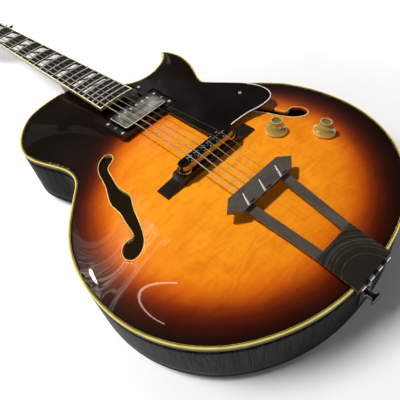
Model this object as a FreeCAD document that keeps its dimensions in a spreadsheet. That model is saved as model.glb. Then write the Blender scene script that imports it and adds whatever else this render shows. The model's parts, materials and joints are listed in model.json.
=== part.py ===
# Archtop guitar with one cutaway, lying on its back: bass side towards -X, neck towards +Y, top up.
# Lengths are in millimetres. Pieces are drawn with Y measured from the tail of the body and Z from the
# lowest point of the arched back; the finished part is then centred along Y.
import FreeCAD
import Part
import Sketcher
import math
import os
from types import SimpleNamespace

from FreeCAD import Placement, Rotation, Vector

DRIVING_SIZES = {
    # Body shell
    "body_length": 531, "lower_bout_width": 414, "rim_depth": 78, "top_arch": 16, "back_arch": 14,
    "plate_thickness": 5, "side_thickness": 2.5, "binding_height": 6.5, "glue_line": 0.06,
    "lining_width": 6, "lining_height": 14, "neck_block_width": 60, "neck_block_length": 44,
    "tail_block_width": 70, "tail_block_length": 24, "tone_bar_width": 9, "tone_bar_height": 10,
    "tone_bar_length": 200, "tone_bar_x": 58, "tone_bar_y": 110, "tone_bar_gap": 0.1,
    "f_hole_x": 71.5, "f_hole_y": 187.5, "f_hole_width": 84, "f_hole_length": 154, "f_hole_rim": 1.6,
    # Neck and fingerboard
    "scale_length": 628, "joint_fret_y": 505.6, "joint_fret_height": 20.8, "neck_pitch": 2.97,
    "board_width_nut": 43, "board_width_end": 58, "board_end_margin": 13.5, "board_thickness": 6,
    "board_radius": 305, "board_binding": 1.8, "fret_width": 2.4, "fret_height": 1.1,
    "inlay_thickness": 0.8, "inlay_width_margin": 4.5, "inlay_length_margin": 5, "inlay_slot": 0.05,
    "neck_depth_nut": 21, "neck_depth_heel": 24, "heel_length_top": 62, "heel_length_bottom": 20,
    "heel_width_top": 44, "heel_width_bottom": 32, "heel_lift": 1, "heel_overlap": 5, "tenon_width": 26,
    "tenon_length": 20,
    "tenon_height": 42, "tenon_lift": 28, "joint_gap": 0.1, "riser_width": 46, "riser_setback": 14,
    "riser_gap": 0.4, "truss_rod_radius": 2.5, "truss_rod_depth": 12.5, "truss_rod_length": 330,
    "truss_nut_radius": 3, "truss_nut_length": 10, "truss_pocket_width": 11, "truss_pocket_length": 24,
    "throat_length": 26, "throat_width": 40, "throat_top": 13, "throat_depth": 27,
    # Nut and head
    "nut_thickness": 5, "nut_crown": 2.4, "string_height_nut": 1.95, "head_angle": 14, "head_drop": 5,
    "head_length": 180, "head_width": 82, "head_thickness": 13, "veneer_thickness": 2,
    "cover_width": 22, "cover_length": 36, "cover_thickness": 1.8, "cover_setback": 1,
    # Tuners
    "first_post": 48, "post_spacing": 42, "post_x": 24, "post_radius": 3, "post_waist_radius": 2.4,
    "post_height": 13, "waist_low": 3.4, "waist_high": 10.6, "bushing_radius": 4.8, "bushing_flange": 6.4,
    "bushing_flange_height": 2, "bushing_depth": 8, "gear_radius": 5, "gear_thickness": 5, "gear_tooth": 0.7,
    "worm_radius": 2.2, "worm_length": 9, "worm_shaft_radius": 1.5, "mesh_gap": 0.25, "running_gap": 0.06,
    "housing_width": 15, "housing_depth": 11.5, "housing_wall": 1.6, "housing_tab": 7,
    "housing_tab_thickness": 1.5, "button_reach": 52, "button_length": 17, "button_width": 21,
    "button_thickness": 6.5, "button_edge": 2.4,
    # Strings
    "string_spread_nut": 36, "string_spread_bridge": 52.45, "string_height_bridge": 41.8,
    "string_gauge_1": 1.32, "string_gauge_2": 1.07, "string_gauge_3": 0.81, "string_gauge_4": 0.61,
    "string_gauge_5": 0.43, "string_gauge_6": 0.33, "string_rest_gap": 0.08, "coil_gap": 0.6,
    "coil_top": 9.3, "string_bend_radius": 4, "ball_radius": 1.7, "ball_length": 3.4,
    # Pickup
    "pickup_y": 358.5, "pickup_length": 70.5, "pickup_width": 38.5, "pickup_height": 19, "pickup_top": 29.5,
    "pickup_tilt": 3.5, "pickup_wall": 0.6, "pickup_corner": 3, "pickup_gap": 0.6, "coil_length": 66,
    "coil_width": 17, "coil_height": 11, "magnet_length": 62, "magnet_width": 12, "magnet_height": 3,
    "base_plate_thickness": 1.2, "ear_length": 88, "ear_width": 9, "pole_radius": 2.4, "pole_spacing": 10,
    "pole_row": 9.2, "pole_length": 19, "pole_proud": 0.5, "ring_length": 92, "ring_width": 47,
    "ring_high": 24.5, "ring_low": 20.5, "ring_corner": 4, "ring_floor": 6, "ring_screw_x": 41.5,
    "ring_screw_y": 17.5, "height_screw_x": 41, "height_screw_radius": 1.4, "height_screw_length": 23,
    "height_screw_head": 2.5, "height_screw_head_height": 1.4,
    # Bridge
    "bridge_base_length": 150, "bridge_base_width": 19, "bridge_foot_height": 20, "bridge_platform": 94,
    "bridge_platform_height": 26.3, "bridge_step": 4,
    "bridge_foot_fall": 2.6, "bridge_floor": 4, "bridge_compensation": 2, "bridge_post_x": 37,
    "bridge_post_radius": 2,
    "bridge_post_sink": 6, "bridge_post_proud": 9.5, "thumbwheel_radius": 9, "thumbwheel_height": 3,
    "thumbwheel_gap": 0.9, "thumbwheel_clear": 0.3, "thumbwheel_groove": 0.5, "bridge_body_length": 87,
    "bridge_body_width": 14,
    "bridge_body_height": 8, "bridge_pocket_length": 66, "bridge_pocket_width": 10.6,
    "bridge_pocket_depth": 6,
    "saddle_width": 8, "saddle_thickness": 4, "saddle_ridge": 2.4, "saddle_gap": 0.12,
    "saddle_screw_radius": 1,
    "saddle_screw_head": 1.8, "saddle_screw_head_height": 1.5, "saddle_screw_drop": 2.4,
    # Tailpiece
    "pin_radius": 1.5, "barrel_radius": 2.7, "pin_setback": 3, "pin_height": 1.2, "tail_tilt": 9,
    "hinge_width": 50, "knuckle_gap": 0.3, "frame_thickness": 2.4, "frame_width": 58, "frame_base_length": 49,
    "arm_width": 12, "arm_splay": 7, "frame_length": 150, "bar_length": 80, "bar_point": 13.6,
    "bar_width": 22.5,
    "bar_thickness": 5, "bar_reach": 146, "bar_hole_radius": 1.05, "bar_socket_radius": 1.95,
    "bar_socket_depth": 12, "hinge_plate_thickness": 1.6, "hinge_plate_drop": 13, "hinge_tongue_width": 24,
    "hinge_tongue_drop": 54, "plate_seat_gap": 0.1, "plate_screw_x": 16.7,
    "plate_screw_drop": 9, "tongue_screw_drop": 22, "strap_height": 40, "strap_neck_radius": 4,
    "strap_neck_length": 7, "strap_flange_radius": 8, "strap_flange_height": 3, "strap_foot_radius": 7,
    "strap_foot_height": 2, "strap_screw_radius": 2, "strap_screw_length": 20, "strap_screw_head": 3.4,
    "strap_screw_sink": 1.2,
    # Pickguard
    "guard_height": 24.5, "guard_thickness": 3, "guard_x": 27, "guard_width": 114, "guard_y": 232,
    "guard_length": 182, "guard_notch_gap": 2, "guard_post_radius": 4, "guard_seat_gap": 0.05,
    "guard_screw_x": 111.8, "guard_screw_y": 273, "guard_end_screw_x": 36, "guard_end_screw_y": 403,
    # Controls and jack
    "volume_x": 90.3, "volume_y": 192.5, "tone_x": 128, "tone_y": 147.3, "knob_radius": 14, "knob_height": 16,
    "knob_brim": 2.6, "knob_top_radius": 7.8, "knob_crown": 0.8, "knob_lift": 1.4, "knob_wall": 2.2,
    "knob_cup_radius": 5.6, "knob_cup_depth": 1.5, "knob_hollow_radius": 7.4, "knob_hollow_height": 6,
    "pot_radius": 12, "pot_height": 9, "pot_gap": 0.8,
    "pot_bushing_radius": 4.7, "pot_bushing_height": 4, "pot_nut_radius": 6.6, "pot_nut_height": 2.2,
    "pot_shaft_radius": 3, "jack_bore_radius": 3.25, "jack_radius": 4.7, "jack_length": 26,
    "jack_flange_radius": 9, "jack_flange_height": 3, "jack_nut_radius": 8, "jack_nut_height": 2.5,
    "jack_y": 58, "jack_drop": 39, "jack_gap": 0.1, "jack_cheek": 34,
    # Fasteners and leads
    "screw_radius": 1.1, "screw_length": 9, "screw_head_radius": 2.3, "screw_head_height": 1.3,
    "screw_gap": 0.05, "lead_radius": 1.3, "lead_depth": 18, "lead_gap": 0.4,
    # Working values
    "overrun": 3, "grid_margin": 24,
}

# Outline of the body as shares of half the lower bout's width and of the body's length. The lower bout is
# the same on both sides; the upper bout is round on the bass side and ends in a horn on the treble side.
LOWER_BOUT_SHARES = [(0.30, 0.0125), (0.55, 0.050), (0.76, 0.108), (0.90, 0.180), (0.98, 0.263), (1.0, 0.335),
                     (0.975, 0.425), (0.905, 0.502), (0.795, 0.565), (0.675, 0.618)]
BASS_SHARES = [(0.606, 0.655), (0.592, 0.688), (0.625, 0.737), (0.678, 0.790), (0.700, 0.840), (0.672, 0.890),
               (0.590, 0.940), (0.470, 0.980), (0.330, 0.997), (0.145, 1.0)]
TREBLE_SHARES = [(0.606, 0.655), (0.598, 0.682), (0.632, 0.720), (0.690, 0.765), (0.728, 0.810),
                 (0.738, 0.850), (0.722, 0.885), (0.690, 0.909)]
CUTAWAY_SHARES = [(0.690, 0.909), (0.640, 0.882), (0.545, 0.858), (0.435, 0.846), (0.330, 0.849),
                  (0.240, 0.868), (0.180, 0.897), (0.152, 0.935), (0.145, 1.0)]
HORN_MITRE_SHARES = [(0.690, 0.912), (0.666, 0.880), (0.40, 0.78), (0.0, 0.90), (0.0, 1.02), (0.690, 1.02)]

# One f-hole, from its inner end outwards and from its lower end upwards, as shares of its width and length.
F_HOLE_SHARES = [(0.125, 1.0), (0.268, 0.951), (0.363, 0.834), (0.458, 0.685), (0.585, 0.523), (0.598, 0.406),
                 (0.661, 0.256), (0.750, 0.142), (0.857, 0.156), (0.964, 0.120), (1.0, 0.055), (0.940, 0.004),
                 (0.815, 0.002), (0.696, 0.045), (0.583, 0.146), (0.482, 0.282), (0.399, 0.380),
                 (0.325, 0.464), (0.333, 0.562), (0.304, 0.679), (0.244, 0.795), (0.173, 0.873),
                 (0.083, 0.890), (0.012, 0.919), (0.0, 0.961), (0.044, 0.994)]

# Outer edge of the pickguard from the bridge round to the neck, as shares of its width and length.
GUARD_SHARES = [(0.263, 0.033), (0.412, 0.033), (0.561, 0.024), (0.658, 0.009), (0.781, 0.0), (0.886, 0.008),
                (0.951, 0.033), (0.998, 0.096), (0.996, 0.173), (0.943, 0.264), (0.667, 0.538),
                (0.518, 0.714),
                (0.342, 0.896), (0.202, 0.995)]
GUARD_HEEL_SHARES = [(0.0, 0.077), (0.0, 0.90), (0.05, 0.91), (0.05, 1.0)]

# Head of the neck: half width against distance from the nut, as shares of its width and length.
HEAD_SHARES = [(0.272, 0.0), (0.285, 0.04), (0.34, 0.10), (0.44, 0.20), (0.455, 0.45), (0.475, 0.72),
               (0.50, 0.93), (0.44, 0.965), (0.25, 0.985), (0.0, 1.0)]

# Heel of the neck from the back up to the shaft: shares of its height, of its width and of its length.
HEEL_SHARES = [(0.0, 0.0, 0.0), (0.35, 0.30, 0.10), (0.70, 0.68, 0.42), (1.0, 1.0, 1.0)]

# The two halves of an inlay, as shares of half its width and half its length.
INLAY_SHARES = [[(-0.86, -1.0), (0.02, -1.0), (-0.32, 1.0), (-1.0, 1.0)],
                [(0.32, -1.0), (1.0, -1.0), (0.86, 1.0), (-0.02, 1.0)]]

# Adjusting cover on the head, half width against length, as shares of half its width and of its length.
COVER_SHARES = [(-1.0, 0.0), (1.0, 0.0), (0.62, 0.80), (0.0, 1.0), (-0.62, 0.80)]

# Flare of a knob from its brim up, as shares of what the brim stands out and of the knob's height.
BELL_SHARES = [(0.93, 0.24), (0.66, 0.325), (0.40, 0.42), (0.21, 0.54), (0.09, 0.68), (0.03, 0.82)]

ARCH_EASE = 1.2
FRET_COUNT = 20
INLAID_FRETS = [1, 3, 5, 7, 9, 12, 15, 17]
STRING_COUNT = 6
STRING_TURNS = 2.25
KNUCKLES = 7
GEAR_TEETH = 16
WHEEL_GROOVES = 24
ARCH_COLUMNS = 30
ARCH_ROWS = 38

doc = FreeCAD.newDocument("archtop_guitar")
sheet = doc.addObject("Spreadsheet::Sheet", "Sizes")


class Size:
    """A cell of the sheet, or a sum of cells: its value now, and the formula that binds a property to it."""

    def __init__(self, value, formula):
        self.value = value
        self.formula = formula

    def __float__(self):
        return self.value

    def join(self, other, sign, value, swapped=False):
        text = other.formula if isinstance(other, Size) else repr(other)
        first, second = (text, self.formula) if swapped else (self.formula, text)
        return Size(value, "(%s %s %s)" % (first, sign, second))

    def __add__(self, other):
        return self.join(other, "+", self.value + float(other))

    def __radd__(self, other):
        return self.join(other, "+", float(other) + self.value, True)

    def __sub__(self, other):
        return self.join(other, "-", self.value - float(other))

    def __rsub__(self, other):
        return self.join(other, "-", float(other) - self.value, True)

    def __mul__(self, other):
        return self.join(other, "*", self.value * float(other))

    def __rmul__(self, other):
        return self.join(other, "*", float(other) * self.value, True)

    def __truediv__(self, other):
        return self.join(other, "/", self.value / float(other))

    def __neg__(self):
        return Size(-self.value, "(0 - %s)" % self.formula)


size = SimpleNamespace()
for row, (alias, value) in enumerate(DRIVING_SIZES.items(), start=1):
    sheet.set("A%d" % row, alias)
    sheet.set("B%d" % row, str(value))
    sheet.setAlias("B%d" % row, alias)
    setattr(size, alias, Size(float(value), "Sizes." + alias))
doc.recompute()

nodes = []


def at(x, y, z):
    return Vector(float(x), float(y), float(z))


def bind(item, **values):
    for name, value in values.items():
        setattr(item, name, float(value))
        if isinstance(value, Size):
            item.setExpression(name, value.formula)


def seat(item, base, turn=None):
    """Puts a primitive at a point, with each coordinate bound to the sheet."""
    item.Placement = Placement(at(*base), turn or Rotation())
    for axis, value in zip("xyz", base):
        if isinstance(value, Size):
            item.setExpression("Placement.Base." + axis, value.formula)
    return item


ALONG_X = Rotation(Vector(0, 0, 1), Vector(1, 0, 0))
ALONG_Y = Rotation(Vector(0, 0, 1), Vector(0, 1, 0))


def cylinder(name, radius, height, base=(0, 0, 0), turn=None):
    item = doc.addObject("Part::Cylinder", name)
    bind(item, Radius=radius, Height=height)
    return seat(item, base, turn)


def box(name, length, width, height, base=(0, 0, 0)):
    item = doc.addObject("Part::Box", name)
    bind(item, Length=length, Width=width, Height=height)
    return seat(item, base)


def fuse(name, *items):
    item = doc.addObject("Part::MultiFuse", name)
    item.Shapes = list(items)
    return item


def cut(name, base, tool):
    item = doc.addObject("Part::Cut", name)
    item.Base = base
    item.Tool = tool
    return item


def group(name, *items):
    item = doc.addObject("Part::Compound", name)
    item.Links = list(items)
    return item


def feature(name, shape):
    item = doc.addObject("Part::Feature", name)
    item.Shape = shape
    return item


def sketch_on(body, plane, points):
    """A closed polygon on one of the body's planes, each corner held to the sheet in both directions."""
    sketch = body.newObject("Sketcher::SketchObject", body.Name + "_sketch")
    support = [item for item in body.Origin.OriginFeatures if item.Role == plane][0]
    sketch.AttachmentSupport = [(support, "")]
    sketch.MapMode = "FlatFace"
    corners = [at(x, y, 0) for x, y in points]
    for corner, following in zip(corners, corners[1:] + corners[:1]):
        sketch.addGeometry(Part.LineSegment(corner, following), False)
    for index in range(len(corners)):
        sketch.addConstraint(Sketcher.Constraint("Coincident", index, 2, (index + 1) % len(corners), 1))
    for index, pair in enumerate(points):
        for kind, value in zip(("DistanceX", "DistanceY"), pair):
            number = sketch.addConstraint(Sketcher.Constraint(kind, -1, 1, index, 1, float(value)))
            if isinstance(value, Size):
                sketch.setExpression("Constraints[%d]" % number, value.formula)
    return sketch


def padded(name, points, height, plane="XY_Plane", middle=False):
    """A polygon raised by a height: a plate, block or bar."""
    body = doc.addObject("PartDesign::Body", name)
    pad = body.newObject("PartDesign::Pad", name + "_pad")
    pad.Profile = sketch_on(body, plane, points)
    bind(pad, Length=height)
    pad.Midplane = middle
    return body


def turned(name, points):
    """A half profile of radius and height spun once round Z: a knob, button or post."""
    body = doc.addObject("PartDesign::Body", name)
    spin = body.newObject("PartDesign::Revolution", name + "_spin")
    sketch = sketch_on(body, "XZ_Plane", points)
    spin.Profile = sketch
    spin.ReferenceAxis = (sketch, ["V_Axis"])
    spin.Angle = 360
    return body


def moved(shape, frame):
    copy = shape.copy()
    copy.Placement = frame.multiply(copy.Placement)
    return copy


def rod(radius, base, direction, length):
    return Part.makeCylinder(float(radius), float(length), base, direction)


def block(low, high):
    span = high - low
    return Part.makeBox(span.x, span.y, span.z, low)


# Reference heights and frames. The rim plane is the upper edge of the binding.
half_bout = size.lower_bout_width / 2
rim = size.back_arch + size.rim_depth
pitch = math.radians(float(size.neck_pitch))


def fret_place(number):
    """Distance of a fret from the nut, in equal temperament."""
    return size.scale_length * (1 - 2 ** (-number / 12))


joint_place = float(fret_place(14))
nut_y = float(size.joint_fret_y) + joint_place * math.cos(pitch)
nut_z = float(rim + size.joint_fret_height) - joint_place * math.sin(pitch)
neck_frame = Placement(Vector(0, nut_y, nut_z), Rotation(Vector(1, 0, 0), -float(size.neck_pitch)))
head_seat = Placement(at(0, size.nut_thickness, -size.head_drop),
                      Rotation(Vector(1, 0, 0), -float(size.head_angle)))
head_frame = neck_frame.multiply(head_seat)
pickup_frame = Placement(at(0, size.pickup_y, rim + size.pickup_top),
                         Rotation(Vector(1, 0, 0), -float(size.pickup_tilt)))
tail_frame = Placement(at(0, -size.pin_setback, rim + size.pin_height),
                       Rotation(Vector(1, 0, 0), float(size.tail_tilt)))
head_tip = head_frame.multVec(at(0, size.head_length, 0)).y
tail_tip = -float(size.hinge_plate_thickness + size.plate_seat_gap + size.strap_foot_height
                  + size.strap_neck_length + size.strap_flange_height)
home = Placement(Vector(0, -(head_tip + tail_tip) / 2, 0), Rotation())


def keep(item, label, frame=None):
    """Names a finished sub-part and puts it in the part's own frame."""
    doc.recompute()
    item.Label = label
    item.Placement = home.multiply(frame) if frame else home
    nodes.append(item)
    return item


def spline(points, closed=False):
    curve = Part.BSplineCurve()
    curve.interpolate(Points=points, PeriodicFlag=closed)
    return curve.toShape()


def wire(*edges):
    return Part.Wire(Part.__sortEdges__(list(edges)))


def prism(outline, low, high):
    face = Part.Face(outline)
    face.translate(at(0, 0, low))
    return face.extrude(Vector(0, 0, float(high) - float(low)))


def share_points(shares, width, length, x=0, y=0):
    return [at(x + u * width, y + v * length, 0) for u, v in shares]


# Body outline: one long curve from the neck down the bass side, round the tail and up to the horn, one
# short curve round the cutaway, and a straight line where the heel of the neck stands.
bass_side_shares = [(-u, v) for u, v in LOWER_BOUT_SHARES + BASS_SHARES]
long_shares = bass_side_shares[::-1] + [(0, 0)] + LOWER_BOUT_SHARES + TREBLE_SHARES
long_edge = spline(share_points(long_shares, half_bout, size.body_length))
cutaway_edge = spline(share_points(CUTAWAY_SHARES, half_bout, size.body_length))


def carried_in(edge, distance, count):
    """Points of an edge carried to its left by a distance."""
    first, last = edge.ParameterRange
    points = []
    for index in range(count + 1):
        place = first + (last - first) * index / count
        along = edge.tangentAt(place)
        points.append(edge.valueAt(place) + Vector(-along.y, along.x, 0) * distance)
    return points


def crossing(first, second):
    """Where two polylines cross: the index in each, and the point."""
    for i in range(len(first) - 2, -1, -1):
        for j in range(len(second) - 1):
            u = first[i + 1] - first[i]
            v = second[j + 1] - second[j]
            gap = second[j] - first[i]
            turn = u.x * v.y - u.y * v.x
            if turn:
                along = (gap.x * v.y - gap.y * v.x) / turn
                across = (gap.x * u.y - gap.y * u.x) / turn
                if 0 <= along <= 1 and 0 <= across <= 1:
                    return i, j, first[i] + u * along
    raise ValueError("the two sides of the horn do not cross")


def outline(distance=0):
    """The body's outline carried inwards, with a sharp horn and a straight heel."""
    distance = float(distance)
    if not distance:
        ends = (cutaway_edge.valueAt(cutaway_edge.LastParameter), long_edge.valueAt(long_edge.FirstParameter))
        return wire(long_edge, cutaway_edge, Part.LineSegment(*ends).toShape())
    heel_y = float(size.body_length) - distance
    long_points = carried_in(long_edge, distance, 96)
    short_points = carried_in(cutaway_edge, distance, 32)
    i, j, corner = crossing(long_points, short_points)
    heel_corner = Vector(short_points[-1].x, heel_y, 0)
    short_points = [p for p in short_points[j + 1:] if p.y < heel_y]
    long_points[0] = Vector(long_points[0].x, heel_y, 0)
    curves = [spline(long_points[:i + 1] + [corner]), spline([corner] + short_points + [heel_corner])]
    return wire(*curves, Part.LineSegment(heel_corner, long_points[0]).toShape())


# Arch of the plates. A point's reach is the harmonic mean of its distances to the outline over all
# directions: nought at the rim, and smooth everywhere inside. The arch eases up from the rim with it.
rim_corners = [(p.x, p.y) for p in long_edge.discretize(150) + cutaway_edge.discretize(40)[1:]]


def reach(x, y):
    total = 0.0
    for (ax, ay), (bx, by) in zip(rim_corners, rim_corners[1:] + rim_corners[:1]):
        ax, ay, bx, by = ax - x, ay - y, bx - x, by - y
        near, far = math.hypot(ax, ay), math.hypot(bx, by)
        total += (1 / near + 1 / far) * (ax * by - ay * bx) / (near * far + ax * bx + ay * by)
    return 2 / total


def arch_grid():
    wide = float(half_bout + size.grid_margin)
    low, high = -float(size.grid_margin), float(size.body_length + size.grid_margin)
    columns = [-wide + 2 * wide * i / ARCH_COLUMNS for i in range(ARCH_COLUMNS + 1)]
    rows = [low + (high - low) * j / ARCH_ROWS for j in range(ARCH_ROWS + 1)]
    return [[(x, y, max(reach(x, y), 0.0)) for y in rows] for x in columns]


reach_grid = arch_grid()
reach_top = max(cell[2] for column in reach_grid for cell in column)


def swell(reached):
    """Share of the arch's height at a reach: flat at the rim, round in the middle."""
    return (1 - math.cos(math.pi * min(reached / reach_top, 1.0) ** ARCH_EASE)) / 2


def arch_face(base, height):
    """Arched sheet standing on a level, upwards or downwards."""
    points = [[Vector(x, y, float(base) + float(height) * swell(r)) for x, y, r in column]
              for column in reach_grid]
    surface = Part.BSplineSurface()
    surface.interpolate(points)
    return surface.toShape()


def arch_height(x, y):
    return float(rim) + float(size.top_arch) * swell(max(reach(float(x), float(y)), 0.0))


def arch_frame(x, y):
    """Frame standing square on the arched top at a place."""
    step = float(size.overrun)
    slope_x = (arch_height(float(x) + step, y) - arch_height(float(x) - step, y)) / (2 * step)
    slope_y = (arch_height(x, float(y) + step) - arch_height(x, float(y) - step)) / (2 * step)
    normal = Vector(-slope_x, -slope_y, 1).normalize()
    return Placement(Vector(float(x), float(y), arch_height(x, y)), Rotation(Vector(0, 0, 1), normal))


top_sheet = arch_face(rim, size.top_arch)
back_sheet = arch_face(size.back_arch, -size.back_arch)
above_all = Vector(0, 0, float(size.rim_depth))
top_slab = top_sheet.extrude(at(0, 0, -size.plate_thickness))
back_slab = back_sheet.extrude(at(0, 0, size.plate_thickness))


def over_top(gap):
    """Everything above the arched top, starting a gap above it."""
    return moved(top_sheet, Placement(at(0, 0, gap), Rotation())).extrude(above_all)


def under_top(gap):
    """Everything below the arched top, starting a gap above it."""
    return moved(top_sheet, Placement(at(0, 0, gap), Rotation())).extrude(-above_all)


# Wood screws. Each is listed once with the frame it stands in; the pieces that it holds get its hole.
HEAD_DOWN = Rotation(Vector(1, 0, 0), 180)


def screw_solid(frame):
    head = rod(size.screw_head_radius, Vector(), Vector(0, 0, 1), size.screw_head_height)
    shank = rod(size.screw_radius, Vector(), Vector(0, 0, -1), size.screw_length)
    return moved(head.fuse(shank), frame)


def screw_holes(frames):
    depth = size.screw_length + size.screw_gap
    radius = size.screw_radius + size.screw_gap
    return [moved(rod(radius, at(0, 0, size.overrun), Vector(0, 0, -1), depth + size.overrun), frame)
            for frame in frames]


def screwed(shape, frames):
    """The shape with the holes of those screws."""
    return shape.cut(Part.makeCompound(screw_holes(frames)))


ring_screw_level = (size.ring_high + size.ring_low) / 2
ring_tilt = math.degrees(math.atan2(float(size.ring_high - size.ring_low), float(size.ring_width)))
ring_frame = Placement(at(0, size.pickup_y, rim + ring_screw_level), Rotation(Vector(1, 0, 0), -ring_tilt))
ring_screws = [ring_frame.multiply(Placement(at(x * size.ring_screw_x, y * size.ring_screw_y, 0), Rotation()))
               for x in (-1, 1) for y in (-1, 1)]
guard_screws = [Placement(at(x, y, rim + size.guard_height), Rotation())
                for x, y in ((size.guard_screw_x, size.guard_screw_y),
                             (size.guard_end_screw_x, size.guard_end_screw_y))]
cover_screws = [head_frame.multiply(Placement(at(0, place, size.cover_thickness), Rotation()))
                for place in (size.cover_length - size.screw_head_radius - size.cover_setback,)]
plate_screws = [Placement(at(x, -(size.hinge_plate_thickness + size.plate_seat_gap), rim - drop),
                          Rotation(Vector(0, 0, 1), Vector(0, -1, 0)))
                for x, drop in ((-size.plate_screw_x, size.plate_screw_drop),
                                (size.plate_screw_x, size.plate_screw_drop), (0, size.tongue_screw_drop))]

# Potentiometer and jack frames
volume_frame = arch_frame(size.volume_x, size.volume_y)
tone_frame = arch_frame(size.tone_x, size.tone_y)
pot_frames = [volume_frame, tone_frame]


def rim_frame(y, drop):
    """Frame on the treble side of the rim, its Z axis pointing straight out of the side."""
    first, last = long_edge.ParameterRange
    middle = (first + last) / 2
    low, high = middle, middle + (last - middle) / 2
    for _ in range(50):
        place = (low + high) / 2
        low, high = (place, high) if long_edge.valueAt(place).y < float(y) else (low, place)
    along = long_edge.tangentAt(low)
    spot = long_edge.valueAt(low)
    outward = Vector(along.y, -along.x, 0)
    return Placement(Vector(spot.x, spot.y, float(rim - drop)), Rotation(Vector(0, 0, 1), outward))


jack_frame = rim_frame(size.jack_y, size.jack_drop)
jack_hole = moved(rod(size.jack_radius + size.jack_gap, at(0, 0, size.overrun), Vector(0, 0, -1),
                      size.jack_length), jack_frame)


# Top: an arched plate with two f-holes, the pickup's opening and a hole for each control.
def f_hole_outline(side, distance=0):
    corners = share_points(F_HOLE_SHARES, size.f_hole_width, size.f_hole_length, size.f_hole_x, size.f_hole_y)
    edge = spline([Vector(side * p.x, p.y, 0) for p in corners], True)
    if distance:
        edge = spline(carried_in(edge, -side * float(distance), 120)[:-1], True)
    return Part.Wire([edge])


plate_inset = size.side_thickness + size.glue_line
body_top = rim + size.top_arch + size.overrun
plate_prism = prism(outline(plate_inset), 0, body_top)
f_holes = [prism(f_hole_outline(side), rim - size.plate_thickness - size.overrun, body_top)
           for side in (-1, 1)]
pickup_hole_length = size.pickup_length + 2 * size.pickup_gap
pickup_hole_width = size.pickup_width + 2 * size.pickup_gap
pickup_hole = moved(block(at(-pickup_hole_length / 2, -pickup_hole_width / 2, -size.pickup_height * 2),
                          at(pickup_hole_length / 2, pickup_hole_width / 2, 0)), pickup_frame)
ear_slot_length = size.ear_length + 2 * size.pickup_gap
ear_slot_width = size.ear_width + 2 * size.pickup_gap
ear_slot = moved(block(at(-ear_slot_length / 2, -ear_slot_width / 2, -size.pickup_height * 2),
                       at(ear_slot_length / 2, ear_slot_width / 2, 0)), pickup_frame)
pot_holes = [moved(rod(size.pot_bushing_radius + size.screw_gap, at(0, 0, size.plate_thickness),
                       Vector(0, 0, -1),
                       size.plate_thickness * 3), frame) for frame in pot_frames]
top_shape = top_slab.common(plate_prism).cut(Part.makeCompound(f_holes + [pickup_hole, ear_slot] + pot_holes))
keep(feature("top", screwed(top_shape, ring_screws)), "top_plate")

# Back: the same outline, arched downwards, without holes.
keep(feature("back", back_slab.common(plate_prism)), "back_plate")

# Sides: three bent ribs that meet at the tail, at the tip of the horn and at the heel, and a short cheek
# let into the treble rib where the jack goes through.
rib_low = size.back_arch + size.binding_height
rib_high = rim - size.binding_height
rib_ring = prism(outline(), rib_low, rib_high).cut(prism(outline(size.side_thickness), rib_low, rib_high))
mitre = prism(Part.makePolygon([p for p in share_points(HORN_MITRE_SHARES + HORN_MITRE_SHARES[:1], half_bout,
                                                        size.body_length)]), 0, rim)
wide_x = half_bout + size.grid_margin
bass_half = block(at(-wide_x, -size.grid_margin, 0), at(0, size.body_length + size.grid_margin, rim))
treble_half = block(at(0, -size.grid_margin, 0), at(wide_x, size.body_length + size.grid_margin, rim))
tenon_low = size.back_arch + size.tenon_lift
tenon_box = block(at(-size.tenon_width / 2, size.body_length - size.tenon_length, tenon_low),
                  at(size.tenon_width / 2, size.body_length + size.overrun, tenon_low + size.tenon_height))
mortise = block(at(-size.tenon_width / 2 - size.joint_gap,
                   size.body_length - size.tenon_length - size.joint_gap, tenon_low - size.joint_gap),
                at(size.tenon_width / 2 + size.joint_gap, size.body_length + size.overrun,
                   tenon_low + size.tenon_height + size.joint_gap))
strap_place = Placement(at(0, 0, rim - size.strap_height), Rotation(Vector(0, 0, 1), Vector(0, -1, 0)))
strap_hole = moved(rod(size.strap_screw_radius + size.screw_gap, at(0, 0, size.overrun), Vector(0, 0, -1),
                       size.strap_screw_length), strap_place)
rib_ring = rib_ring.cut(Part.makeCompound([mortise, jack_hole, strap_hole]))
rib_ring = screwed(rib_ring, plate_screws)
jack_axis = jack_frame.Rotation.multVec(Vector(0, 0, 1))
cheek_frame = Placement(jack_frame.Base, Rotation(Vector(1, 0, 0), jack_axis))
cheek_space = moved(block(at(-size.jack_length, -size.jack_cheek / 2, -size.rim_depth),
                          at(size.overrun, size.jack_cheek / 2, size.rim_depth)), cheek_frame)
treble_rib = rib_ring.common(treble_half).cut(mitre).cut(cheek_space)
ribs = [rib_ring.common(bass_half), treble_rib, rib_ring.common(mitre), rib_ring.common(cheek_space)]
keep(feature("ribs", Part.makeCompound(ribs)), "sides")

# Linings and blocks: a strip along each edge of the sides, and the blocks that take the neck and the tail.
lining_face = size.side_thickness + size.glue_line
lining_outer = outline(lining_face)
lining_inner = outline(lining_face + size.lining_width)
top_seat = rim - size.plate_thickness - size.glue_line
back_seat = size.back_arch + size.plate_thickness + size.glue_line
lining_spans = [(back_seat, back_seat + size.lining_height), (top_seat - size.lining_height, top_seat)]
block_prism = prism(lining_outer, back_seat, top_seat)
neck_space = block(at(-size.neck_block_width / 2, size.body_length - size.neck_block_length, back_seat),
                   at(size.neck_block_width / 2, size.body_length, top_seat))
tail_space = block(at(-size.tail_block_width / 2, 0, back_seat),
                   at(size.tail_block_width / 2, size.tail_block_length, top_seat))
neck_block = neck_space.common(block_prism).cut(mortise)
tail_block = screwed(tail_space.common(block_prism).cut(strap_hole), plate_screws)
linings = []
for low, high in lining_spans:
    strip = prism(lining_outer, low, high).cut(prism(lining_inner, low, high))
    linings.append(strip.cut(neck_space).cut(tail_space).cut(jack_hole))
keep(feature("frame_of_body", Part.makeCompound(linings + [neck_block, tail_block])), "linings_and_blocks")

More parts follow.
